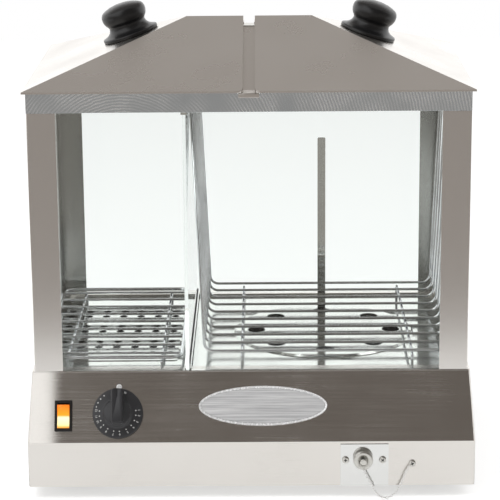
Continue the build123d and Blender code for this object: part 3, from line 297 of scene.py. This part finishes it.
add_node(tree, "ShaderNodeOutputMaterial", {"Surface": shader.outputs["BSDF"]})
for side in ("front", "rear", "left", "right"):
    folded_copy(
        f"top_rail_{side}", [f"rail_{side}"], frame_edge, arc_ground, "cabinet_body")

# Roof: two hipped lids of bead-smooth satin stainless, and a folded centre strip between them.
# Satin finish: fine lines down the slope, soft reflections, faint rub marks.
satin, tree = blank_material("satin_stainless")
place = add_node(tree, "ShaderNodeTexCoord").outputs["Object"]
lines = add_node(tree, "ShaderNodeTexNoise", {
    "Vector": add_node(tree, "ShaderNodeMapping", {
        "Vector": place, "Scale": (900.0, 7.0, 7.0)}).outputs["Vector"],
    "Scale": 1.0, "Detail": 3.0})
rubs = add_node(tree, "ShaderNodeTexNoise", {
    "Vector": place, "Scale": 11.0, "Detail": 4.0, "Roughness": 0.6})
rough = add_node(tree, "ShaderNodeMapRange", {
    "Value": rubs.outputs["Fac"], "From Min": 0.3, "From Max": 0.7, "To Min": 0.24, "To Max": 0.34})
relief = add_node(tree, "ShaderNodeBump", {
    "Height": lines.outputs["Fac"], "Strength": 0.15, "Distance": 0.00006})
shader = add_node(tree, "ShaderNodeBsdfPrincipled", {
    "Base Color": linear("#d9d5d0"), "Metallic": 1.0, "Roughness": rough.outputs["Result"],
    "Normal": relief.outputs["Normal"]})
add_node(tree, "ShaderNodeOutputMaterial", {"Surface": shader.outputs["BSDF"]})
lid_edge, strip_edge = 0.0004, 0.0003
folded_copy("left_roof_lid", ["left_lid"], lid_edge, satin, "left_lid_body")
folded_copy("right_roof_lid", ["right_lid"], lid_edge, satin, "right_lid_body")
folded_copy("roof_strip", ["centre_strip"], strip_edge, satin, "cabinet_body")

# Knobs: black phenolic, compression moulded and buffed, each held by a screw from inside the lid.
# Deep black with a satin gloss, slight orange peel from the mould.
phenolic, tree = blank_material("buffed_phenolic")
place = add_node(tree, "ShaderNodeTexCoord").outputs["Object"]
peel = add_node(tree, "ShaderNodeTexNoise", {"Vector": place, "Scale": 260.0, "Detail": 2.0})
haze = add_node(tree, "ShaderNodeMapRange", {
    "Value": peel.outputs["Fac"], "To Min": 0.24, "To Max": 0.4})
relief = add_node(tree, "ShaderNodeBump", {
    "Height": peel.outputs["Fac"], "Strength": 0.08, "Distance": 0.0001})
shader = add_node(tree, "ShaderNodeBsdfPrincipled", {
    "Base Color": linear("#131314"), "Roughness": haze.outputs["Result"],
    "Normal": relief.outputs["Normal"]})
add_node(tree, "ShaderNodeOutputMaterial", {"Surface": shader.outputs["BSDF"]})
knob_x, knob_y, knob_fit = 0.1285, 0.01315, 0.995
lid_drop, eave_x, ridge_x, ridge_z = 0.0547, 0.2325, 0.0679, 0.4851
side_slope = math.atan2(lid_drop, eave_x - ridge_x)
for name, side in (("left", -1), ("right", 1)):
    knob_shape = bmesh.new()
    outline = [knob_shape.verts.new((radius / 1000, 0, height * knob_fit / 1000)) for radius, height in (
        (0, 0.05), (29.0, 0.05), (30.1, 0.35), (30.5, 1.2), (30.5, 3.0), (30.1, 3.85), (29.3, 4.2),
        (26.2, 5.3), (23.6, 6.8), (21.6, 8.8), (20.4, 11.2), (20.0, 13.5), (20.9, 15.4), (22.4, 17.2),
        (23.6, 19.6), (24.3, 22.0), (24.5, 24.0), (24.4, 26.4), (23.8, 28.6), (22.6, 30.6), (20.9, 31.9),
        (17.5, 33.5), (13.0, 35.0), (8.0, 36.0), (3.5, 36.4), (0, 36.5))]
    for before, after in zip(outline, outline[1:]):
        knob_shape.edges.new((before, after))
    bmesh.ops.spin(
        knob_shape, geom=knob_shape.verts[:] + knob_shape.edges[:], cent=(0, 0, 0), axis=(0, 0, 1),
        angle=math.tau, steps=64, use_merge=True)
    bmesh.ops.remove_doubles(knob_shape, verts=knob_shape.verts, dist=1e-6)
    bmesh.ops.recalc_face_normals(knob_shape, faces=knob_shape.faces)
    seat_height = ridge_z - (knob_x - ridge_x) * math.tan(side_slope)
    bmesh.ops.transform(
        knob_shape, verts=knob_shape.verts,
        matrix=Matrix.Translation((side * knob_x, knob_y, seat_height))
        @ Matrix.Rotation(side * side_slope, 4, "Y"))
    for face in knob_shape.faces:
        face.smooth = True
    knob = new_piece(f"{name}_turned_knob", knob_shape, phenolic)
    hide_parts(f"{name}_lid_knob")
    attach(knob, f"{name}_lid_body")

# Glass: four float panes behind the posts and one divider, cut from 3 and 4 mm sheet.
# Iron in the melt gives a faint green; a 0.12 mm film of adhesive parts each pane from its post.
float_glass, tree = blank_material("float_glass")
place = add_node(tree, "ShaderNodeTexCoord").outputs["Object"]
film = add_node(tree, "ShaderNodeTexNoise", {"Vector": place, "Scale": 6.0, "Detail": 3.0})
haze = add_node(tree, "ShaderNodeMapRange", {
    "Value": film.outputs["Fac"], "From Min": 0.4, "From Max": 0.8, "To Min": 0.0, "To Max": 0.03})
pane = add_node(tree, "ShaderNodeBsdfPrincipled", {
    "Base Color": linear("#fdfffe"), "Roughness": haze.outputs["Result"], "IOR": 1.33,
    "Transmission Weight": 1.0})
clear = add_node(tree, "ShaderNodeBsdfTransparent", {"Color": linear("#f6faf8")})
ray = add_node(tree, "ShaderNodeLightPath")
both = add_node(tree, "ShaderNodeMixShader", {
    "Fac": ray.outputs["Is Shadow Ray"], 1: pane.outputs["BSDF"], 2: clear.outputs["BSDF"]})
add_node(tree, "ShaderNodeOutputMaterial", {"Surface": both.outputs["Shader"]})
seam = 0.00012
for node in ("glass_front", "glass_rear", "glass_sides", "divider_glass"):
    pane_shape = bmesh.new()
    pane_shape.from_mesh(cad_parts[node].data)
    bmesh.ops.remove_doubles(pane_shape, verts=pane_shape.verts, dist=2e-6)
    bmesh.ops.dissolve_limit(
        pane_shape, angle_limit=math.radians(0.6), verts=pane_shape.verts, edges=pane_shape.edges)
    pane_shape.normal_update()
    for vertex in pane_shape.verts:
        vertex.co -= Vector([
            math.copysign(seam, part) if abs(part) > 0.2 else 0 for part in vertex.normal])
    sheet = new_piece(f"{node}_pane", pane_shape, float_glass)
    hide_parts(node)
    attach(sheet, "cabinet_body")

# Divider's channel and clips: bright rolled stainless. The channel is folded to hold the foot of the
# divider and the clips are bent over its top; the drain's plate and the water pan are of the same sheet.
def coat(names, material):
    """Give CAD nodes a material."""
    for name in names:
        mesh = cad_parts[name].data
        mesh.materials.clear()
        mesh.materials.append(material)


# Cold rolling leaves it nearly mirror bright, with a long faint ripple.
bright, tree = blank_material("bright_rolled_stainless")
place = add_node(tree, "ShaderNodeTexCoord").outputs["Object"]
rolls = add_node(tree, "ShaderNodeTexNoise", {"Vector": place, "Scale": 25.0, "Detail": 3.0})
rough = add_node(tree, "ShaderNodeMapRange", {
    "Value": rolls.outputs["Fac"], "From Min": 0.3, "From Max": 0.7, "To Min": 0.07, "To Max": 0.15})
relief = add_node(tree, "ShaderNodeBump", {
    "Height": rolls.outputs["Fac"], "Strength": 0.05, "Distance": 0.0004})
shader = add_node(tree, "ShaderNodeBsdfPrincipled", {
    "Base Color": linear("#d8d8d6"), "Metallic": 1.0, "Roughness": rough.outputs["Result"],
    "Normal": relief.outputs["Normal"]})
add_node(tree, "ShaderNodeOutputMaterial", {"Surface": shader.outputs["BSDF"]})
coat(["divider_channel", "divider_clips", "drain_plate", "water_pan"], bright)

# Trays: bright stainless blanks, pressed and pierced, lifted out by hand or by the flat bar.
# Water and heat leave the polish a little cloudy.
tray_steel, tree = blank_material("polished_tray_steel")
place = add_node(tree, "ShaderNodeTexCoord").outputs["Object"]
cloud = add_node(tree, "ShaderNodeTexNoise", {
    "Vector": place, "Scale": 14.0, "Detail": 5.0, "Roughness": 0.65})
rough = add_node(tree, "ShaderNodeMapRange", {
    "Value": cloud.outputs["Fac"], "From Min": 0.35, "From Max": 0.7, "To Min": 0.05, "To Max": 0.16})
scratch = add_node(tree, "ShaderNodeTexNoise", {
    "Vector": add_node(tree, "ShaderNodeMapping", {
        "Vector": place, "Scale": (40.0, 800.0, 40.0)}).outputs["Vector"], "Scale": 1.0})
relief = add_node(tree, "ShaderNodeBump", {
    "Height": scratch.outputs["Fac"], "Strength": 0.06, "Distance": 0.0001})
shader = add_node(tree, "ShaderNodeBsdfPrincipled", {
    "Base Color": linear("#d3d5d2"), "Metallic": 1.0, "Roughness": rough.outputs["Result"],
    "Normal": relief.outputs["Normal"]})
add_node(tree, "ShaderNodeOutputMaterial", {"Surface": shader.outputs["BSDF"]})
coat(["bun_tray", "juice_tray", "juice_tray_handle"], tray_steel)

# Basket and bun rack: round steel wire, bent, resistance welded at each crossing and chrome plated.
# The plating is mirror bright, with a faint ripple from the drawn wire.
chrome, tree = blank_material("chrome_plated_wire")
place = add_node(tree, "ShaderNodeTexCoord").outputs["Object"]
ripple = add_node(tree, "ShaderNodeTexNoise", {"Vector": place, "Scale": 180.0, "Detail": 2.0})
rough = add_node(tree, "ShaderNodeMapRange", {
    "Value": ripple.outputs["Fac"], "To Min": 0.08, "To Max": 0.2})
relief = add_node(tree, "ShaderNodeBump", {
    "Height": ripple.outputs["Fac"], "Strength": 0.08, "Distance": 0.0003})
shader = add_node(tree, "ShaderNodeBsdfPrincipled", {
    "Base Color": linear("#cfd1d3"), "Metallic": 1.0, "Roughness": rough.outputs["Result"],
    "Normal": relief.outputs["Normal"]})
add_node(tree, "ShaderNodeOutputMaterial", {"Surface": shader.outputs["BSDF"]})


def smooth_copy(name, nodes, material, body):
    """Make a welded copy of wire, turned or moulded nodes, shaded smooth between its sharp edges."""
    shape = bmesh.new()
    for node in nodes:
        shape.from_mesh(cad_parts[node].data)
    bmesh.ops.remove_doubles(shape, verts=shape.verts, dist=2e-6)
    for face in shape.faces:
        face.smooth = True
    piece = new_piece(name, shape, material)
    piece.data.set_sharp_from_angle(angle=math.radians(38))
    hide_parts(*nodes)
    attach(piece, body)


smooth_copy("basket_u_wires", ["basket_wires"], chrome, "basket_body")
smooth_copy("basket_cross_rods", ["basket_rods"], chrome, "basket_body")
smooth_copy("rack_rim_wire", ["bun_rack_rim"], chrome, "bun_rack_body")
smooth_copy("rack_cross_wires", ["bun_rack_wires"], chrome, "bun_rack_body")
smooth_copy("rack_legged_rods", ["bun_rack_rods"], chrome, "bun_rack_body")

# Switch: black nylon housing snapped into the panel, with a rocker moulded in clear amber.
# Fine spark-eroded grain on the nylon; the rocker's pale band is a painted highlight, its darker orange
# ends are painted shade, and its glow is painted.
nylon, tree = blank_material("grained_black_nylon")
place = add_node(tree, "ShaderNodeTexCoord").outputs["Object"]
grain = add_node(tree, "ShaderNodeTexNoise", {"Vector": place, "Scale": 1600.0, "Detail": 2.0})
rough = add_node(tree, "ShaderNodeMapRange", {
    "Value": grain.outputs["Fac"], "To Min": 0.28, "To Max": 0.5})
relief = add_node(tree, "ShaderNodeBump", {
    "Height": grain.outputs["Fac"], "Strength": 0.15, "Distance": 0.0001})
shader = add_node(tree, "ShaderNodeBsdfPrincipled", {
    "Base Color": linear("#171616"), "Roughness": rough.outputs["Result"],
    "Normal": relief.outputs["Normal"]})
add_node(tree, "ShaderNodeOutputMaterial", {"Surface": shader.outputs["BSDF"]})
coat(["switch_housing", "cable_gland", "thermostat_body"], nylon)

panel_lean = math.atan2(0.033, 0.0683)
panel_frame = Matrix.Translation((0, -0.175, 0.0629)) @ Matrix.Rotation(math.pi / 2 - panel_lean, 4, "X")
amber_painted_glow, tree = blank_material("amber_polycarbonate_painted_glow")
place = add_node(tree, "ShaderNodeTexCoord").outputs["Object"]
slope = add_node(tree, "ShaderNodeVectorMath", {
    0: place, 1: (0, math.sin(panel_lean), math.cos(panel_lean))}, operation="DOT_PRODUCT")
start = 0.0629 * math.cos(panel_lean) - 0.175 * math.sin(panel_lean)
up = add_node(tree, "ShaderNodeMapRange", {
    "Value": slope.outputs["Value"], "From Min": start + 0.0161, "From Max": start + 0.0409})
# Painted light: the pale stops are a painted highlight band, the deep orange ends are painted shade, and
# the emission is a painted glow.
ramp = add_node(tree, "ShaderNodeValToRGB", {"Fac": up.outputs["Result"]})
stops = ramp.color_ramp.elements
stops[0].position, stops[0].color = 0.0, linear("#f7a23a")
stops[1].position, stops[1].color = 1.0, linear("#f27318")
for spot, colour in ((0.12, "#ffe9a6"), (0.42, "#fff3c4"), (0.52, "#ff9c26")):
    stop = stops.new(spot)
    stop.color = linear(colour)
shader = add_node(tree, "ShaderNodeBsdfPrincipled", {
    "Base Color": ramp.outputs["Color"], "Roughness": 0.18, "Emission Color": ramp.outputs["Color"],
    "Emission Strength": 0.55})
add_node(tree, "ShaderNodeOutputMaterial", {"Surface": shader.outputs["BSDF"]})
smooth_copy("rocker_painted_glow", ["switch_rocker"], amber_painted_glow, "rocker_body")

# Dial: black ABS, moulded, with a grip bar and white pad-printed scale; it pushes onto the shaft.
abs_plastic, tree = blank_material("moulded_black_abs")
place = add_node(tree, "ShaderNodeTexCoord").outputs["Object"]
grain = add_node(tree, "ShaderNodeTexNoise", {"Vector": place, "Scale": 900.0, "Detail": 2.0})
rough = add_node(tree, "ShaderNodeMapRange", {
    "Value": grain.outputs["Fac"], "To Min": 0.26, "To Max": 0.44})
relief = add_node(tree, "ShaderNodeBump", {
    "Height": grain.outputs["Fac"], "Strength": 0.1, "Distance": 0.0001})
shader = add_node(tree, "ShaderNodeBsdfPrincipled", {
    "Base Color": linear("#2e2e30"), "Roughness": rough.outputs["Result"],
    "Normal": relief.outputs["Normal"]})
add_node(tree, "ShaderNodeOutputMaterial", {"Surface": shader.outputs["BSDF"]})
smooth_copy("moulded_dial", ["thermostat_dial"], abs_plastic, "dial_body")

# White pad printing ink: chalky, a little thin where the pad lifted.
ink, tree = blank_material("white_pad_ink")
place = add_node(tree, "ShaderNodeTexCoord").outputs["Object"]
wear = add_node(tree, "ShaderNodeTexNoise", {"Vector": place, "Scale": 1200.0})
tone = add_node(tree, "ShaderNodeMix", {
    "Factor": wear.outputs["Fac"], "A": linear("#c9c9c6"), "B": linear("#f2f2ef")}, data_type="RGBA")
shader = add_node(tree, "ShaderNodeBsdfPrincipled", {
    "Base Color": tone.outputs["Result"], "Roughness": 0.55})
add_node(tree, "ShaderNodeOutputMaterial", {"Surface": shader.outputs["BSDF"]})

dial_centre = (-0.1402, 0.0307)
dish_drop, dish_width = 0.0022, 0.0112
dish_tilt = math.atan2(dish_drop, dish_width)
dial_rim_radius, dial_rim_height, print_lift = 0.0257, 0.0030, 0.00006
print_shape = bmesh.new()


def dial_place(angle, radius):
    """Return the place on the dial's dished face at a clockwise angle from its top."""
    height = dial_rim_height + (dial_rim_radius - radius) * math.tan(dish_tilt) + print_lift
    return (
        panel_frame @ Matrix.Translation((*dial_centre, 0))
        @ Matrix.Rotation(math.radians(-angle), 4, "Z")
        @ Matrix.Translation((0, radius, height)) @ Matrix.Rotation(-dish_tilt, 4, "X"))


def add_word(word, size, angle, radius):
    """Print a word on the dial, its head pointing outwards."""
    text = bpy.data.curves.new("word", "FONT")
    text.body = word
    text.size = size
    text.align_x = "CENTER"
    text.align_y = "CENTER"
    carrier = bpy.data.objects.new("word", text)
    mesh = bpy.data.meshes.new_from_object(carrier)
    mesh.transform(dial_place(angle, radius))
    print_shape.from_mesh(mesh)
    bpy.data.objects.remove(carrier)
    bpy.data.meshes.remove(mesh)


dot_radius, dot_ring, far_dot_ring = 0.0006, 0.0193, 0.0235
figure_size, figure_ring = 0.0033, 0.0226
word_size, word_angle = 0.0031, 17
figure_angles = (82, 97, 114, 132, 152, 174, 192, 212, 230, 246, 261, 277)
for number, angle in enumerate(figure_angles):
    bmesh.ops.create_circle(
        print_shape, cap_ends=True, segments=12, radius=dot_radius, matrix=dial_place(angle, dot_ring))
    add_word(str(number + 1), figure_size, angle, figure_ring)
for angle in (287, 298, 310, 322):
    bmesh.ops.create_circle(
        print_shape, cap_ends=True, segments=12, radius=dot_radius,
        matrix=dial_place(angle, far_dot_ring))
add_word("OFF", word_size, word_angle, figure_ring)
dial_print = new_piece("dial_scale_print", print_shape, ink)
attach(dial_print, "dial_body")

# Badge: an oval plate of stamped and lacquered metal with a raised bright rim, left blank.
# It is stuck to the panel; the dial's index stud is pressed from the same metal.
# Clear lacquer over the stamped rim: nearly white, with soft highlights.
badge_rim, tree = blank_material("bright_lacquered_rim")
place = add_node(tree, "ShaderNodeTexCoord").outputs["Object"]
dust = add_node(tree, "ShaderNodeTexNoise", {"Vector": place, "Scale": 400.0, "Detail": 2.0})
rough = add_node(tree, "ShaderNodeMapRange", {
    "Value": dust.outputs["Fac"], "To Min": 0.2, "To Max": 0.34})
shader = add_node(tree, "ShaderNodeBsdfPrincipled", {
    "Base Color": linear("#eeeeee"), "Metallic": 0.3, "Roughness": rough.outputs["Result"]})
add_node(tree, "ShaderNodeOutputMaterial", {"Surface": shader.outputs["BSDF"]})
smooth_copy("badge_rimmed_plate", ["badge_plate"], badge_rim, "cabinet_body")
smooth_copy("index_stud", ["dial_index_stud"], badge_rim, "cabinet_body")

# Brushed from side to side before lacquering: silver with fine pale and grey lines. The true lines
# are 0.1 mm apart; they are drawn 0.9 mm apart to show.
badge_silver, tree = blank_material("brushed_lacquered_silver")
place = add_node(tree, "ShaderNodeTexCoord").outputs["Object"]
lines = add_node(tree, "ShaderNodeTexNoise", {
    "Vector": add_node(tree, "ShaderNodeMapping", {
        "Vector": place, "Scale": (14.0, 1100.0, 1100.0)}).outputs["Vector"],
    "Scale": 1.0, "Detail": 4.0, "Roughness": 0.7})
tone = add_node(tree, "ShaderNodeValToRGB", {"Fac": lines.outputs["Fac"]})
tone.color_ramp.elements[0].position, tone.color_ramp.elements[0].color = 0.3, linear("#b4b4b6")
tone.color_ramp.elements[1].position, tone.color_ramp.elements[1].color = 0.68, linear("#f4f4f4")
rough = add_node(tree, "ShaderNodeMapRange", {
    "Value": lines.outputs["Fac"], "To Min": 0.25, "To Max": 0.45})
shader = add_node(tree, "ShaderNodeBsdfPrincipled", {
    "Base Color": tone.outputs["Color"], "Metallic": 0.35, "Roughness": rough.outputs["Result"]})
add_node(tree, "ShaderNodeOutputMaterial", {"Surface": shader.outputs["BSDF"]})
badge_x, badge_slope, badge_lift = 0.0125, 0.038, 0.0013
badge_half_width, badge_half_height = 0.0648, 0.0183
crown_width, crown_rise = 0.0012, 0.0004
face_shape = bmesh.new()
bmesh.ops.create_circle(face_shape, cap_ends=True, segments=96, radius=1.0)
bmesh.ops.transform(
    face_shape, verts=face_shape.verts,
    matrix=panel_frame @ Matrix.Translation((badge_x, badge_slope, badge_lift))
    @ Matrix.Diagonal((badge_half_width, badge_half_height, 1, 1)))
bmesh.ops.inset_region(
    face_shape, faces=face_shape.faces[:], thickness=crown_width, depth=crown_rise)
badge_face = new_piece("badge_face", face_shape, badge_silver)
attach(badge_face, "cabinet_body")

# Small hardware: zinc-plated screws, pins, hinge plate and shaft, and the turned drain cap.
zinc, tree = blank_material("zinc_plated_steel")
place = add_node(tree, "ShaderNodeTexCoord").outputs["Object"]
grain = add_node(tree, "ShaderNodeTexNoise", {"Vector": place, "Scale": 500.0, "Detail": 3.0})
rough = add_node(tree, "ShaderNodeMapRange", {
    "Value": grain.outputs["Fac"], "To Min": 0.2, "To Max": 0.42})
tone = add_node(tree, "ShaderNodeMix", {
    "Factor": grain.outputs["Fac"], "A": linear("#b9b8b4"), "B": linear("#d6d4cd")}, data_type="RGBA")
shader = add_node(tree, "ShaderNodeBsdfPrincipled", {
    "Base Color": tone.outputs["Result"], "Metallic": 1.0, "Roughness": rough.outputs["Result"]})
add_node(tree, "ShaderNodeOutputMaterial", {"Surface": shader.outputs["BSDF"]})
coat([
    "bottom_plate_screws", "foot_screws", "hinge_plate", "hinge_pins", "left_knob_screw",
    "right_knob_screw", "switch_pin", "thermostat_shaft", "thermostat_bulb", "bottom_plate",
    "heating_element"], zinc)
smooth_copy("pan_head_screws", ["drain_screws"], zinc, "cabinet_body")
smooth_copy("turned_cap", ["drain_cap"], zinc, "cap_body")
smooth_copy("cap_pan_screw", ["cap_screw"], zinc, "cap_body")
smooth_copy("cap_wire_ring", ["cap_ring"], zinc, "cap_body")

# Cross recesses of the drain screws: forged slots 3.6 mm long.
# Their black is painted shade; each is two crossed wedges let into the head.
shade, tree = blank_material("forged_recess_painted_shade")
place = add_node(tree, "ShaderNodeTexCoord").outputs["Object"]
recess_rough_patches = add_node(tree, "ShaderNodeTexNoise", {"Vector": place, "Scale": 900.0})
rough = add_node(tree, "ShaderNodeMapRange", {
    "Value": recess_rough_patches.outputs["Fac"], "To Min": 0.6, "To Max": 0.9})
shader = add_node(tree, "ShaderNodeBsdfPrincipled", {
    # The near-black base colour is painted shade in the slots.
    "Base Color": linear("#0c0c0c"), "Metallic": 0.5, "Roughness": rough.outputs["Result"]})
add_node(tree, "ShaderNodeOutputMaterial", {"Surface": shader.outputs["BSDF"]})
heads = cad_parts["drain_screws"].data
recess_shape = bmesh.new()
head_reach, slot_sink = 0.004, 0.00052
slot_length, slot_depth, slot_width = 0.0038, 0.0012, 0.0009
screw_places = ((0.0988, 0.043, 12), (0.1378, 0.043, 40), (0.1689, 0.0384, 65))
for across_x, height_z, turn_angle in screw_places:
    front_reach = min(
        vertex.co.y for vertex in heads.vertices if abs(vertex.co.x - across_x) < head_reach)
    for quarter in (0, 90):
        bmesh.ops.create_cube(
            recess_shape, size=1.0,
            matrix=Matrix.Translation((across_x, front_reach + slot_sink, height_z))
            @ Matrix.Rotation(math.radians(turn_angle + quarter), 4, "Y")
            @ Matrix.Diagonal((slot_length, slot_depth, slot_width, 1)))
bmesh.ops.recalc_face_normals(recess_shape, faces=recess_shape.faces)
recesses = new_piece("screw_recess_painted_shade", recess_shape, shade)
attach(recesses, "cabinet_body")

# Rubber feet and the divider's seal: moulded black rubber, the feet screwed to the bottom plate and
# the seal pushed over the divider's edge. Matt, with a powdery bloom.
rubber, tree = blank_material("moulded_black_rubber")
place = add_node(tree, "ShaderNodeTexCoord").outputs["Object"]
bloom = add_node(tree, "ShaderNodeTexNoise", {"Vector": place, "Scale": 300.0, "Detail": 3.0})
tone = add_node(tree, "ShaderNodeMix", {
    "Factor": bloom.outputs["Fac"], "A": linear("#1a1a1a"), "B": linear("#2b2b2a")}, data_type="RGBA")
rough = add_node(tree, "ShaderNodeMapRange", {
    "Value": bloom.outputs["Fac"], "To Min": 0.6, "To Max": 0.85})
shader = add_node(tree, "ShaderNodeBsdfPrincipled", {
    "Base Color": tone.outputs["Result"], "Roughness": rough.outputs["Result"]})
add_node(tree, "ShaderNodeOutputMaterial", {"Surface": shader.outputs["BSDF"]})
coat(["rubber_feet", "divider_seal"], rubber)

# Drain pipe: drawn brass tube, brazed under the pan and led out through the front.
# Dull gold with darker stains from the heat.
brass, tree = blank_material("drawn_brass")
place = add_node(tree, "ShaderNodeTexCoord").outputs["Object"]
stain = add_node(tree, "ShaderNodeTexNoise", {"Vector": place, "Scale": 120.0, "Detail": 3.0})
tone = add_node(tree, "ShaderNodeMix", {
    "Factor": stain.outputs["Fac"], "A": linear("#a5813f"), "B": linear("#cfae68")}, data_type="RGBA")
rough = add_node(tree, "ShaderNodeMapRange", {
    "Value": stain.outputs["Fac"], "To Min": 0.25, "To Max": 0.45})
shader = add_node(tree, "ShaderNodeBsdfPrincipled", {
    "Base Color": tone.outputs["Result"], "Metallic": 1.0, "Roughness": rough.outputs["Result"]})
add_node(tree, "ShaderNodeOutputMaterial", {"Surface": shader.outputs["BSDF"]})
coat(["drain_pipe"], brass)

# Table: a pale sheet that ends a little in front of the object, so that the posts mirror the
# darker room.
table_half_width, table_front, table_back = 2.5, -0.66, 3.0
floor_glow, camera_share = 0.34, 1.4
table_shape = bmesh.new()
bmesh.ops.create_grid(table_shape, x_segments=1, y_segments=1, size=1.0)
for vertex in table_shape.verts:
    vertex.co = Vector((
        vertex.co.x * table_half_width, table_front if vertex.co.y < 0 else table_back, 0))
paper, tree = blank_material("pale_paper")
fibre = add_node(tree, "ShaderNodeTexNoise", {
    "Vector": add_node(tree, "ShaderNodeTexCoord").outputs["Object"], "Scale": 90.0})
tone = add_node(tree, "ShaderNodeMix", {
    "Factor": fibre.outputs["Fac"], "A": linear("#e9e9e9"), "B": linear("#ededed")}, data_type="RGBA")
matt = add_node(tree, "ShaderNodeBsdfDiffuse", {"Color": tone.outputs["Result"]})
ray = add_node(tree, "ShaderNodeLightPath")
direct = add_node(tree, "ShaderNodeMath", {
    0: ray.outputs["Is Camera Ray"], 1: camera_share}, operation="MULTIPLY")
seen = add_node(tree, "ShaderNodeMath", {
    0: direct.outputs["Value"], 1: ray.outputs["Is Glossy Ray"]}, operation="MAXIMUM")
seen = add_node(tree, "ShaderNodeMath", {
    0: seen.outputs["Value"], 1: ray.outputs["Is Transmission Ray"]}, operation="MAXIMUM")
lift = add_node(tree, "ShaderNodeMath", {
    0: seen.outputs["Value"], 1: floor_glow}, operation="MULTIPLY")
glow = add_node(tree, "ShaderNodeEmission", {
    "Color": (1, 1, 1, 1), "Strength": lift.outputs["Value"]})
both = add_node(tree, "ShaderNodeAddShader", {0: matt.outputs["BSDF"], 1: glow.outputs["Emission"]})
add_node(tree, "ShaderNodeOutputMaterial", {"Surface": both.outputs["Shader"]})
table = new_piece("table", table_shape, paper)

# Light: a plain pale room, a large soft lamp above the front left and a weaker one at the right.
for name, place, size, power in (
    ("soft_lamp", (-1.3, -1.2, 2.3), 1.6, 26.0), ("fill_lamp", (1.6, -0.6, 1.9), 1.4, 11.0)):
    lamp = bpy.data.lights.new(name, "AREA")
    lamp.size = size
    lamp.energy = power
    holder = bpy.data.objects.new(name, lamp)
    bpy.context.scene.collection.objects.link(holder)
    holder.location = place
    holder.rotation_mode = "QUATERNION"
    holder.rotation_quaternion = (Vector((0, 0, 0.2)) - Vector(place)).to_track_quat("-Z", "Y")
    holder.visible_glossy = False

room = bpy.data.worlds.new("room")
room.use_nodes = True
tree = room.node_tree
tree.nodes.clear()
ray = add_node(tree, "ShaderNodeLightPath")
aim = add_node(tree, "ShaderNodeSeparateXYZ", {
    "Vector": add_node(tree, "ShaderNodeTexCoord").outputs["Generated"]})
back = add_node(tree, "ShaderNodeMapRange", {
    "Value": aim.outputs["Y"], "From Min": -0.25, "From Max": 0.3}, interpolation_type="SMOOTHSTEP")
high = add_node(tree, "ShaderNodeMapRange", {
    "Value": aim.outputs["Z"], "From Min": 0.4, "From Max": 0.62}, interpolation_type="SMOOTHSTEP")
left = add_node(tree, "ShaderNodeMapRange", {
    "Value": aim.outputs["X"], "From Min": -0.2, "From Max": -0.34}, interpolation_type="SMOOTHSTEP")
front = add_node(tree, "ShaderNodeMix", {
    "Factor": left.outputs["Result"], "A": linear("#726c67"), "B": (1.3, 1.3, 1.3, 1)}, data_type="RGBA")
low = add_node(tree, "ShaderNodeMapRange", {
    "Value": aim.outputs["Z"], "From Min": 0.0, "From Max": 0.25}, interpolation_type="SMOOTHSTEP")
front = add_node(tree, "ShaderNodeMix", {
    "Factor": low.outputs["Result"], "A": linear("#a8a29d"), "B": front.outputs["Result"]},
    data_type="RGBA")
sweep = add_node(tree, "ShaderNodeMix", {
    "Factor": back.outputs["Result"], "A": front.outputs["Result"], "B": (1.4, 1.4, 1.4, 1)},
    data_type="RGBA")
overhead = add_node(tree, "ShaderNodeMath", {
    0: back.outputs["Result"], 1: high.outputs["Result"]}, operation="MULTIPLY")
mirrored = add_node(tree, "ShaderNodeMix", {
    "Factor": overhead.outputs["Value"], "A": sweep.outputs["Result"], "B": linear("#aca7a3")},
    data_type="RGBA")
sharp = add_node(tree, "ShaderNodeMath", {
    0: ray.outputs["Is Glossy Ray"], 1: ray.outputs["Is Transmission Ray"]}, operation="MAXIMUM")
lit = add_node(tree, "ShaderNodeMix", {
    "Factor": sharp.outputs["Value"], "A": (0.62, 0.62, 0.62, 1), "B": mirrored.outputs["Result"]},
    data_type="RGBA")
unmirrored = add_node(tree, "ShaderNodeMath", {
    0: ray.outputs["Glossy Depth"], 1: 0.5}, operation="LESS_THAN")
through = add_node(tree, "ShaderNodeMath", {
    0: ray.outputs["Is Transmission Ray"], 1: unmirrored.outputs["Value"]}, operation="MULTIPLY")
plain = add_node(tree, "ShaderNodeMath", {
    0: ray.outputs["Is Camera Ray"], 1: through.outputs["Value"]}, operation="MAXIMUM")
seen = add_node(tree, "ShaderNodeMix", {
    "Factor": plain.outputs["Value"], "A": lit.outputs["Result"], "B": (1, 1, 1, 1)}, data_type="RGBA")
glow = add_node(tree, "ShaderNodeBackground", {"Color": seen.outputs["Result"], "Strength": 1.0})
add_node(tree, "ShaderNodeOutputWorld", {"Surface": glow.outputs["Background"]})
bpy.context.scene.world = room
